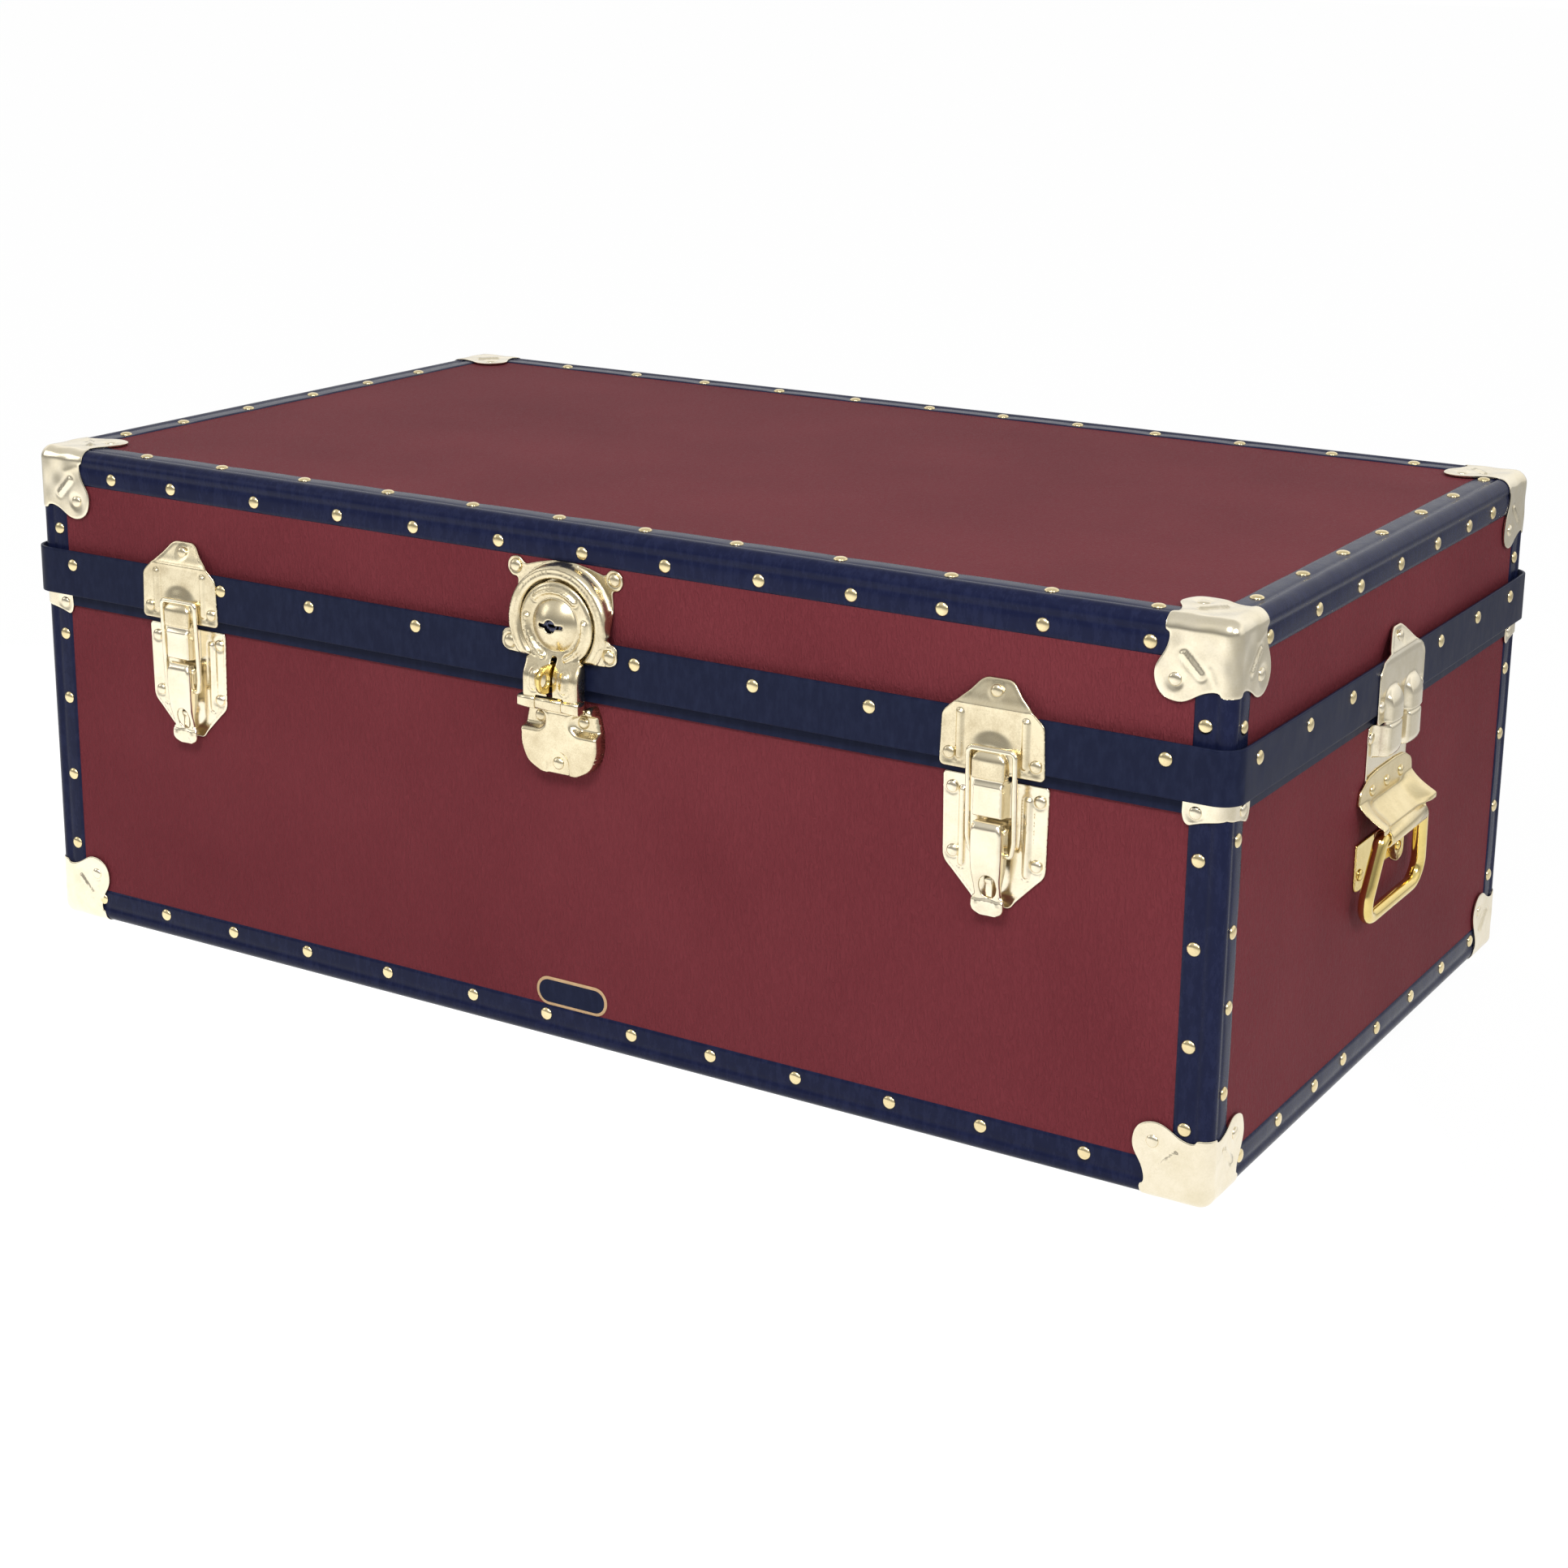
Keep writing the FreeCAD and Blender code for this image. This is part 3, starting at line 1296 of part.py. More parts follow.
publish("lock_lid_plate", seated(lock_lid_plate(), "front", s.lock_place))
publish("padlock_staple", seated(padlock_staple(), "front", s.lock_place))
publish("hasp", seated(hasp(), "front", s.lock_place))
publish("lock_plug", seated(lock_plug(), "front", s.lock_place))
publish("lock_base_plate", seated(lock_base_plate(), "front", s.lock_place))
publish("hasp_pin", seated(hasp_pin(), "front", s.lock_place))

# Ends: a two-domed guide over the seam and a drop handle below it
HANDLE_TOP_SHARE = 0.8
HANDLE_PAD_SHARE = 0.96
HANDLE_TURN_SHARE = 1.5
GUIDE_SHARES = [
    (0.5, 0.0, 0.03),
    (0.5, 0.52, 0.06),
    (0.38, 0.66, 0.10),
    (0.20, 0.80, 0.08),
    (0.11, 1.0, 0.10),
]


def guide_keeper():
    places = [-s.guide_spread / 2, s.guide_spread / 2]
    return keeper(
        s.guide_width,
        GUIDE_SHARES,
        places,
        s.guide_dome,
        s.dome_low,
        s.dome_top,
        s.dome_front,
        s.guide_root,
    )


def guide_plate():
    """The base's guide plate: two dowels over a flat plate that runs under the handle plate."""
    half = s.guide_base_width / 2
    corners = [(half, s.guide_base_low, 0), (half, s.latch_high, s.plate * 2)]
    plate = front_prism(mirrored(corners), face_out, plate_out)
    tip_width = s.guide_dome - 2 * s.plate - 2 * s.play
    waist = s.dome_low - s.play
    parts = []
    for sign in (-1, 1):
        piece = dowel(
            s.guide_dome, s.guide_dowel_low, waist, s.dowel_high, s.dome_front, tip_width
        )
        piece.translate(Vector(sign * s.guide_spread / 2, 0, 0))
        parts.append(piece)
    return plate.fuse(parts).removeSplitter()


def handle_plate():
    """The handle's plate: rolled into a barrel round the handle's bar, with a hood each side."""
    out, up = s.handle_axis_out, s.handle_axis_up
    inner = s.handle_tube + s.play
    outer = inner + s.handle_barrel_skin
    skin = s.handle_barrel_skin
    bend = s.handle_bend_high
    path = [
        (out, up + inner, 0),
        (plate_out + outer, up + inner + skin, outer),
        (plate_out, bend, outer / 2),
        (plate_out, s.handle_plate_high, 0),
    ]
    sheet = bent_sheet(path, skin, -s.handle_plate_width, s.handle_plate_width)
    wide = s.handle_plate_width / 2
    barrel_half = s.handle_barrel_width / 2
    hood_half = s.hood_spread / 2
    half = [
        (barrel_half, up, 0),
        (barrel_half, up + outer + skin, 0),
        (wide, bend, outer),
        (wide, s.handle_plate_high - s.handle_tube, s.handle_bend),
        (wide * HANDLE_TOP_SHARE, s.handle_plate_high, s.handle_bend),
    ]
    sheet = sheet.common(front_prism(mirrored(half), face_out, 2 * s.hood_out))
    pad = [
        (barrel_half, bend, 0),
        (wide * HANDLE_PAD_SHARE, s.guide_base_low - s.play, 0),
    ]
    backing = front_prism(mirrored(pad), face_out, plate_out)
    barrel = bar(out, up, outer, -barrel_half, barrel_half)
    hollow = pin(out, up, inner, -wide, wide)
    lip = s.handle_axis_up + s.handle_tube + s.play
    top = bend + s.handle_tube
    outer_hood = [
        (plate_out, lip, 0),
        (s.hood_out, lip, 0),
        (s.hood_out, lip + 2 * skin, skin),
        (plate_out + skin, top, skin),
        (plate_out, top, 0),
    ]
    inner_hood = [
        (plate_out + skin, lip - skin, 0),
        (s.hood_out - skin, lip - skin, 0),
        (s.hood_out - skin, lip + skin, 0),
        (plate_out + skin, top - 2 * skin, 0),
    ]
    hoods = []
    for sign in (-1, 1):
        low = sign * hood_half - s.hood_width / 2
        shell = side_prism(outer_hood, low, low + s.hood_width)
        shell = shell.cut(side_prism(inner_hood, low + skin, low + s.hood_width - skin))
        hoods.append(shell)
    body = sheet.fuse([backing, barrel] + hoods)
    return body.cut(hollow).removeSplitter()


def handle_back_plate():
    """The lower plate behind the handle, arched between its two rivet lobes."""
    half = s.back_plate_width / 2
    rise = s.back_plate_high - s.back_plate_low
    arch = (s.back_plate_arch - s.back_plate_low) / rise
    shares = [
        (0.5, arch, 0.16),
        (0.66, 0.0, 0.14),
        (0.92, 0.0, 0.14),
        (1.0, 0.26, 0.12),
        (1.0, 1.0, 0.08),
    ]
    corners = [(half * a, s.back_plate_low + rise * b, half * r) for a, b, r in shares]
    return front_prism(mirrored(corners), face_out, plate_out)


def end_handle():
    """The drop handle: one closed loop of round bar that hangs from the barrel."""
    length = math.hypot(s.handle_drop, s.handle_lean)
    down = (s.handle_lean / length, s.handle_drop / length)

    def to_space(across, along):
        out = s.handle_axis_out - down[0] * along
        return Vector(across, -out, s.handle_axis_up - down[1] * along)

    top = s.handle_top_width / 2
    low = s.handle_low_width / 2 - s.handle_tube
    turn = s.handle_tube * HANDLE_TURN_SHARE
    corners = [
        (0, 0, 0),
        (top, 0, turn),
        (low, length, s.handle_bend),
        (-low, length, s.handle_bend),
        (-top, 0, turn),
    ]
    return wire_sweep(corners, to_space, s.handle_tube, True, HANDLE_SIDES)


for side in ("left", "right"):
    publish("guide_keeper_" + side, seated(guide_keeper(), side))
    publish("guide_plate_" + side, seated(guide_plate(), side))
    publish("handle_plate_" + side, seated(handle_plate(), side))
    publish("handle_back_plate_" + side, seated(handle_back_plate(), side))
    publish("end_handle_" + side, seated(end_handle(), side))


# Back: three hinges whose barrel stands just outside the band, level with its lower edge
def hinge_leaf(upper):
    """One leaf with its knuckles: two on the base, one between them on the lid."""
    axis, up = hinge_axis_out, s.band_low
    radius, half = s.hinge_knuckle, s.hinge_width / 2
    inner = s.hinge_width / 6
    if upper:
        path = [(s.band_out, up, 0), (s.band_out, s.hinge_leaf_high, 0)]
        rounded = [(half, up, 0), (half, s.hinge_leaf_high, radius)]
    else:
        over_rim = s.rim_skin - s.binding_skin
        path = [
            (face_out, s.hinge_leaf_low, 0),
            (face_out, s.rim_low - 2 * s.hinge_leaf, s.hinge_leaf),
            (over_rim, s.rim_low - s.hinge_leaf / 2, s.hinge_leaf),
            (over_rim + s.play, up - radius - s.hinge_leaf, s.hinge_leaf),
            (axis, up - radius + s.hinge_leaf, 0),
        ]
        rounded = [(half, s.hinge_leaf_low, radius), (half, up, 0)]
    leaf = bent_sheet(path, s.hinge_leaf, -half, half)
    leaf = leaf.common(front_prism(mirrored(rounded), face_out, 2 * axis))
    middle = [(-inner, inner)]
    outside = [(-half, -inner - s.play), (inner + s.play, half)]
    knuckles, clear = [], []
    for low, high in middle if upper else outside:
        knuckles.append(bar(axis, up, radius, low, high, HINGE_SIDES))
    for low, high in outside if upper else middle:
        clear.append(bore(axis, up, radius + s.play, low - s.play, high + s.play, HINGE_SIDES))
    hole = bore(axis, up, s.hinge_pin + s.pin_play, -half * 2, half * 2, HINGE_SIDES)
    return leaf.cut(clear).fuse(knuckles).cut(hole).removeSplitter()


def hinge_rod():
    """One hinge pin, its ends flush with the knuckles."""
    half = s.hinge_width / 2
    return pin(hinge_axis_out, s.band_low, s.hinge_pin, -half, half)


places = (-s.hinge_spread, 0, s.hinge_spread)
publish("hinge_base_leaves", *[seated(hinge_leaf(False), "back", place) for place in places])
publish("hinge_lid_leaves", *[seated(hinge_leaf(True), "back", place) for place in places])
publish("hinge_pins", *[seated(hinge_rod(), "back", place) for place in places])

check_state()
for item in exported:
    if item.Shape.isNull() or not item.Shape.isValid():
        raise RuntimeError("%s has no sound shape" % item.Label)
for item in exported:
    item.Shape.exportStep("parts/%s.step" % item.Label)
    print("%-24s %d solids" % (item.Label, len(item.Shape.Solids)))
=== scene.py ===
"""Looks of the storage trunk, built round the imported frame. Sizes are in millimetres until Build.piece()."""

import math

import bpy
import numpy as np
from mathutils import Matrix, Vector
from mathutils.geometry import delaunay_2d_cdt


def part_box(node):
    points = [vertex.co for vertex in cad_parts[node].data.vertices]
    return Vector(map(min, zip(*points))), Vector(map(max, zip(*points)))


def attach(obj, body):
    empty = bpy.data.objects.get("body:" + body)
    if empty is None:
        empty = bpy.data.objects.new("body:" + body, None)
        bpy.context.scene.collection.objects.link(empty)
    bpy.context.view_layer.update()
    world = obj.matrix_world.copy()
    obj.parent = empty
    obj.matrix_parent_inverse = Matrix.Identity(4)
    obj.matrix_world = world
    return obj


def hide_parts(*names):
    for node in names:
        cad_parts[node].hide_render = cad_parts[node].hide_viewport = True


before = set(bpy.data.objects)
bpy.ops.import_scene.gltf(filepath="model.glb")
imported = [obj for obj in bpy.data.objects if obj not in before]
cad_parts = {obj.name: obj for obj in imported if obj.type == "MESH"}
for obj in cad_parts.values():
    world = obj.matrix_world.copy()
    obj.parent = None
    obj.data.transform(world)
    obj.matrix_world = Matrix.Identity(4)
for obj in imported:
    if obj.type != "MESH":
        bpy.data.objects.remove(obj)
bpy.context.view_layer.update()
MM = 0.001

# The block of the bindings' outer faces, in the row frame
LOW = np.array([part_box("lid_left_binding")[0].x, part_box("lid_front_binding")[0].y,
                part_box("base_front_binding")[0].z]) / MM
HIGH = np.array([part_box("lid_right_binding")[1].x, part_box("lid_back_binding")[1].y,
                 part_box("lid_front_binding")[1].z]) / MM
MIDDLE = (LOW + HIGH) / 2
HALF = (HIGH - LOW) / 2
EDGE_RADIUS = 8.0
SEAM = 254.0
SIDES = (-1, 1)
CORNERS = [(-1, -1), (1, -1), (1, 1), (-1, 1)]


# Materials
def new_material(name, colour, roughness, metallic=0.0):
    item = bpy.data.materials.new(name)
    item.use_nodes = True
    shader = item.node_tree.nodes["Principled BSDF"]
    shader.inputs["Metallic"].default_value = metallic
    shader.inputs["Roughness"].default_value = roughness
    shader.inputs["Base Color"].default_value = (*colour, 1)
    item.diffuse_color = (*colour, 1)
    return item, item.node_tree, shader


def noise(tree, where, scale, detail=3.0, rough=0.5, warp=0.0):
    item = tree.nodes.new("ShaderNodeTexNoise")
    item.inputs["Scale"].default_value = scale
    item.inputs["Detail"].default_value = detail
    item.inputs["Roughness"].default_value = rough
    item.inputs["Distortion"].default_value = warp
    tree.links.new(where, item.inputs["Vector"])
    return item.outputs["Fac"]


def ramp(tree, value, low, high, out_low, out_high):
    item = tree.nodes.new("ShaderNodeMapRange")
    for key, number in (("From Min", low), ("From Max", high), ("To Min", out_low), ("To Max", out_high)):
        item.inputs[key].default_value = number
    tree.links.new(value, item.inputs["Value"])
    return item.outputs["Result"]


def math_node(tree, kind, a, b):
    item = tree.nodes.new("ShaderNodeMath")
    item.operation = kind
    for socket, value in zip(item.inputs, (a, b)):
        if isinstance(value, (int, float)):
            socket.default_value = value
        else:
            tree.links.new(value, socket)
    return item.outputs[0]


def weighted(tree, first, share, second, other_share):
    """Two values added, each times its share."""
    return math_node(tree, "ADD", math_node(tree, "MULTIPLY", first, share),
                     math_node(tree, "MULTIPLY", second, other_share))


def blend_colours(tree, factor, first, second):
    item = tree.nodes.new("ShaderNodeMix")
    item.data_type = "RGBA"
    item.inputs[6].default_value = (*first, 1)
    item.inputs[7].default_value = (*second, 1)
    tree.links.new(factor, item.inputs[0])
    return item.outputs[2]


def bump(tree, shader, height, distance, strength=1.0):
    item = tree.nodes.new("ShaderNodeBump")
    item.inputs["Distance"].default_value = distance
    item.inputs["Strength"].default_value = strength
    tree.links.new(height, item.inputs["Height"])
    tree.links.new(item.outputs["Normal"], shader.inputs["Normal"])


def place(tree, scale=(1, 1, 1)):
    coordinates = tree.nodes.new("ShaderNodeTexCoord")
    mapping = tree.nodes.new("ShaderNodeMapping")
    mapping.inputs["Scale"].default_value = scale
    tree.links.new(coordinates.outputs["Object"], mapping.inputs["Vector"])
    return mapping.outputs["Vector"]


def leathercloth():
    item, tree, shader = new_material("leathercloth", (0.140, 0.0245, 0.031), 0.5)
    shader.inputs["Specular IOR Level"].default_value = 0.04
    where = place(tree, (1, 1, 0.30))
    creases = noise(tree, where, 620, 2.0, 0.55, 1.1)
    pebble = noise(tree, place(tree), 1500, 2.0)
    broad = noise(tree, place(tree), 9, 2.0)
    height = weighted(tree, ramp(tree, creases, 0.35, 0.62, 0, 1), 1.0, pebble, 0.5)
    tint = ramp(tree, weighted(tree, creases, 0.5, broad, 0.5), 0.35, 0.65, 0, 1)
    colour = blend_colours(tree, tint, (0.119, 0.0210, 0.0272), (0.146, 0.0280, 0.0350))
    tree.links.new(colour, shader.inputs["Base Color"])
    tree.links.new(ramp(tree, height, 0.2, 1.2, 0.50, 0.62), shader.inputs["Roughness"])
    bump(tree, shader, height, 0.00030, 1.0)
    return item


def fibre(name, light, deep, gloss, rough):
    item, tree, shader = new_material(name, light, rough)
    shader.inputs["Specular IOR Level"].default_value = gloss
    soft = noise(tree, place(tree), 26, 2.0)
    fine = noise(tree, place(tree), 1900, 2.0)
    scuff = noise(tree, place(tree, (1, 1, 0.4)), 210, 4.0, 0.65)
    colour = blend_colours(tree, ramp(tree, scuff, 0.42, 0.72, 0, 1), deep, light)
    tree.links.new(colour, shader.inputs["Base Color"])
    tree.links.new(ramp(tree, scuff, 0.3, 0.75, rough * 0.85, rough * 1.25), shader.inputs["Roughness"])
    bump(tree, shader, weighted(tree, soft, 5.0, fine, 0.06), 0.00022, 0.6)
    return item


def brass(name, light, deep, rough):
    item, tree, shader = new_material(name, light, rough, 1.0)
    cloud = noise(tree, place(tree), 60, 4.0, 0.6)
    fleck = noise(tree, place(tree), 900, 3.0, 0.6)
    mixed = weighted(tree, cloud, 0.7, fleck, 0.3)
    colour = blend_colours(tree, ramp(tree, mixed, 0.42, 0.66, 0, 1), light, deep)
    tree.links.new(colour, shader.inputs["Base Color"])
    tree.links.new(ramp(tree, mixed, 0.35, 0.65, rough * 0.85, rough * 1.25), shader.inputs["Roughness"])
    bump(tree, shader, cloud, 0.0004, 0.10)
    return item


def plywood():
    item, tree, shader = new_material("plywood", (0.50, 0.36, 0.21), 0.6)
    grain = noise(tree, place(tree, (0.08, 1, 1)), 420, 4.0, 0.6, 0.6)
    plies = noise(tree, place(tree), 55, 2.0)
    mixed = weighted(tree, grain, 0.7, plies, 0.3)
    colour = blend_colours(tree, ramp(tree, mixed, 0.35, 0.65, 0, 1), (0.40, 0.27, 0.15), (0.58, 0.43, 0.27))
    tree.links.new(colour, shader.inputs["Base Color"])
    bump(tree, shader, grain, 0.0002, 0.4)
    return item


def lining_paper():
    item, tree, shader = new_material("lining_paper", (0.30, 0.29, 0.31), 0.8)
    weave = tree.nodes.new("ShaderNodeTexChecker")
    weave.inputs["Scale"].default_value = 420
    tree.links.new(place(tree), weave.inputs["Vector"])
    fleck = noise(tree, place(tree), 240, 3.0)
    mixed = weighted(tree, weave.outputs["Fac"], 0.25, fleck, 1.0)
    colour = blend_colours(tree, ramp(tree, mixed, 0.35, 0.95, 0, 1), (0.26, 0.25, 0.27), (0.34, 0.33, 0.35))
    tree.links.new(colour, shader.inputs["Base Color"])
    bump(tree, shader, mixed, 0.0001, 0.5)
    return item


MATERIALS = {
    "leathercloth": leathercloth(),
    "navy_fibre": fibre("navy_fibre", (0.0125, 0.0165, 0.0400), (0.0080, 0.0108, 0.0290), 0.06, 0.34),
    "edge_fibre": fibre("edge_fibre", (0.0118, 0.0155, 0.0460), (0.0066, 0.0090, 0.0310), 0.10, 0.26),
    "pale_brass": brass("pale_brass", (0.90, 0.815, 0.63), (0.82, 0.73, 0.53), 0.19),
    "tan_print": fibre("tan_print", (0.50, 0.335, 0.185), (0.44, 0.29, 0.155), 0.20, 0.5),
    "worn_brass": brass("worn_brass", (0.82, 0.72, 0.50), (0.64, 0.54, 0.35), 0.24),
    "nail_brass": brass("nail_brass", (0.86, 0.72, 0.42), (0.76, 0.62, 0.34), 0.20),
    "blued_steel": brass("blued_steel", (0.10, 0.105, 0.16), (0.05, 0.05, 0.08), 0.35),
    "deep_brass": brass("deep_brass", (0.88, 0.69, 0.26), (0.79, 0.60, 0.20), 0.13),
    "steel_brassed": brass("steel_brassed", (0.66, 0.60, 0.44), (0.52, 0.47, 0.36), 0.36),
    "plywood": plywood(),
    "lining_paper": lining_paper(),
}
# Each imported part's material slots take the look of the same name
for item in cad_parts.values():
    for socket in item.material_slots:
        socket.material = MATERIALS[socket.material.name.split(".")[0]]


# Meshes
def facing_out(points, faces):
    """The faces of a closed shape, turned so that the volume inside them counts above zero."""
    points = np.array([tuple(p) for p in points], float)
    points = points - points.mean(0)
    fans = np.array([(face[0], face[i], face[i + 1]) for face in faces for i in range(1, len(face) - 1)])
    a, b, c = (points[fans[:, k]] for k in range(3))
    return faces if (a * np.cross(b, c)).sum() > 0 else [face[::-1] for face in faces]


class Build:
    """Points and faces gathered into one piece."""

    def __init__(self):
        self.points = []
        self.faces = []

    def add(self, points, faces, closed=True):
        start = len(self.points)
        self.points.extend(points)
        faces = facing_out(points, faces) if closed else faces
        self.faces.extend([tuple(start + i for i in face) for face in faces])

    def piece(self, name, body, material, *nodes):
        """The gathered shapes as one object that rides on a body, in place of the nodes named."""
        data = bpy.data.meshes.new(name)
        data.from_pydata([tuple(float(x) * MM for x in p) for p in self.points], [], self.faces)
        data.materials.append(MATERIALS[material])
        data.polygons.foreach_set("use_smooth", [True] * len(data.polygons))
        data.update()
        item = bpy.data.objects.new(name, data)
        bpy.context.scene.collection.objects.link(item)
        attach(item, body)
        if nodes:
            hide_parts(*nodes)


def made(maker, *sizes):
    """The shapes that a function adds, ready to become one piece."""
    build = Build()
    maker(build, *sizes)
    return build


def grid_faces(rows, columns, start=0, flip=False, wrap=False):
    faces = []
    for i in range(rows - 1):
        for j in range(columns if wrap else columns - 1):
            k = (j + 1) % columns
            quad = (start + i * columns + j, start + i * columns + k,
                    start + (i + 1) * columns + k, start + (i + 1) * columns + j)
            faces.append(quad[::-1] if flip else quad)
    return faces


def ring_faces(rows, columns):
    """Faces of a grid that closes on itself both ways."""
    return [(i * columns + j, (i + 1) % rows * columns + j, (i + 1) % rows * columns + (j + 1) % columns,
             i * columns + (j + 1) % columns) for i in range(rows) for j in range(columns)]


def edge_of(axis, sign):
    return (HIGH if sign > 0 else LOW)[axis]


def facing(axis, sign):
    """The direction of the face that looks along an axis."""
    normal = np.zeros(3)
    normal[axis] = sign
    return normal


def on_case(points, out, radius=EDGE_RADIUS, upright=False, grow=0.0):
    """Places on the sharp block's surface, moved to the rounded block's surface and out from it.
    grow is how far the block's sides stand out beyond the case."""
    points = np.asarray(points, float)
    low, high = LOW + radius, HIGH - radius
    low[:2] -= grow
    high[:2] += grow
    if upright:
        low[2], high[2] = -1e6, 1e6
    inner = np.clip(points, low, high)
    away = points - inner
    length = np.linalg.norm(away, axis=1, keepdims=True)
    return inner + away / length * (radius + np.asarray(out, float).reshape(-1, 1))


def smooth_step(value, low, high):
    t = np.clip((np.asarray(value, float) - low) / (high - low), 0, 1)
    return t * t * (3 - 2 * t)


# Outlines and reliefs of the pressed sheets
def ridge(value, at, width, rise):
    return rise * np.exp(-((value - at) / width) ** 2)


def rounded(corners):
    """A closed line through (across, up, radius) corners."""
    spots = []
    for k, (x, y, radius) in enumerate(corners):
        at = np.array([x, y], float)
        before = np.array(corners[k - 1][:2], float) - at
        after = np.array(corners[(k + 1) % len(corners)][:2], float) - at
        lengths = np.linalg.norm(before), np.linalg.norm(after)
        before, after = before / lengths[0], after / lengths[1]
        half = math.acos(float(np.clip(before @ after, -1, 1))) / 2
        if radius <= 0 or half > 1.55:
            spots.append(at)
            continue
        reach = min(radius / math.tan(half), 0.49 * lengths[0], 0.49 * lengths[1])
        radius = reach * math.tan(half)
        middle = before + after
        centre = at + middle / np.linalg.norm(middle) * radius / math.sin(half)
        first, last = at + before * reach - centre, at + after * reach - centre
        start = math.atan2(first[1], first[0])
        turn = (math.atan2(last[1], last[0]) - start + math.pi) % (2 * math.pi) - math.pi
        count = max(2, int(abs(turn) / 0.12) + 1)
        for i in range(count + 1):
            angle = start + turn * i / count
            spots.append(centre + radius * np.array([math.cos(angle), math.sin(angle)]))
    return np.array(spots)


def both(half):
    """A closed outline from the corners of its right half, listed upwards."""
    other = [(-a, b, r) for a, b, r in reversed(half) if abs(a) > 1e-6]
    return rounded(list(half) + other)


def smooth_line(corners, steps):
    """A smooth line through the corners."""
    corners = np.asarray(corners, float)
    count = len(corners)
    spots = []
    for i in range(count - 1):
        b, c = corners[i], corners[i + 1]
        a = corners[i - 1] if i else 2 * b - c
        d = corners[i + 2] if i + 2 < count else 2 * c - b
        for k in range(steps):
            t = k / steps
            spots.append(0.5 * (2 * b + (c - a) * t + (2 * a - 5 * b + 4 * c - d) * t * t
                                + (3 * b - a - 3 * c + d) * t ** 3))
    return np.array(spots + [corners[-1]])


def capsule(a, b, start, end):
    """Distance from the segment between two places."""
    start, end = np.asarray(start, float), np.asarray(end, float)
    along = end - start
    t = np.clip(((a - start[0]) * along[0] + (b - start[1]) * along[1]) / (along @ along), 0, 1)
    return np.hypot(a - start[0] - t * along[0], b - start[1] - t * along[1])


def circle(across, up, radius, count=48):
    turns = 2 * np.pi * np.arange(count) / count
    return np.column_stack([across + radius * np.cos(turns), up + radius * np.sin(turns)])


def even(line, spacing, closed=True):
    """The line with evenly spaced places."""
    line = np.asarray(line, float)
    if closed:
        line = np.vstack([line, line[:1]])
    along = np.concatenate([[0], np.cumsum(np.hypot(*np.diff(line, axis=0).T))])
    count = max(8, int(round(along[-1] / spacing)))
    at = along[-1] * np.arange(count + (0 if closed else 1)) / count
    return np.column_stack([np.interp(at, along, line[:, k]) for k in (0, 1)])


def distance(points, line, closed=True):
    """Distance from each place to a line, less than zero inside a closed one."""
    points, line = np.asarray(points, float), np.asarray(line, float)
    start = line if closed else line[:-1]
    end = np.roll(line, -1, axis=0) if closed else line[1:]
    along = end - start
    size = np.maximum((along ** 2).sum(1), 1e-12)
    gap = np.empty(len(points))
    for k in range(0, len(points), 3000):
        part = points[k:k + 3000, None] - start
        share = np.clip((part * along).sum(2) / size, 0, 1)
        gap[k:k + 3000] = np.sqrt(((part - share[..., None] * along) ** 2).sum(2)).min(1)
        if closed:
            x, y = points[k:k + 3000, 0][:, None], points[k:k + 3000, 1][:, None]
            crosses = (start[:, 1] > y) != (end[:, 1] > y)
            rise = np.where(np.abs(along[:, 1]) < 1e-12, 1e-12, along[:, 1])
            right = x < start[:, 0] + (y - start[:, 1]) * along[:, 0] / rise
            gap[k:k + 3000] *= np.where((crosses & right).sum(1) % 2 == 1, -1, 1)
    return gap


def beside(line, gap, closed=True):
    """The line moved sideways, inwards for a gap under zero if it runs anticlockwise."""
    after = np.roll(line, -1, axis=0) if closed else np.vstack([line[1:], 2 * line[-1:] - line[-2:-1]])
    before = np.roll(line, 1, axis=0) if closed else np.vstack([2 * line[:1] - line[1:2], line[:-1]])
    along = after - before
    along = along / np.maximum(np.linalg.norm(along, axis=1, keepdims=True), 1e-9)
    return line + gap * np.column_stack([along[:, 1], -along[:, 0]])


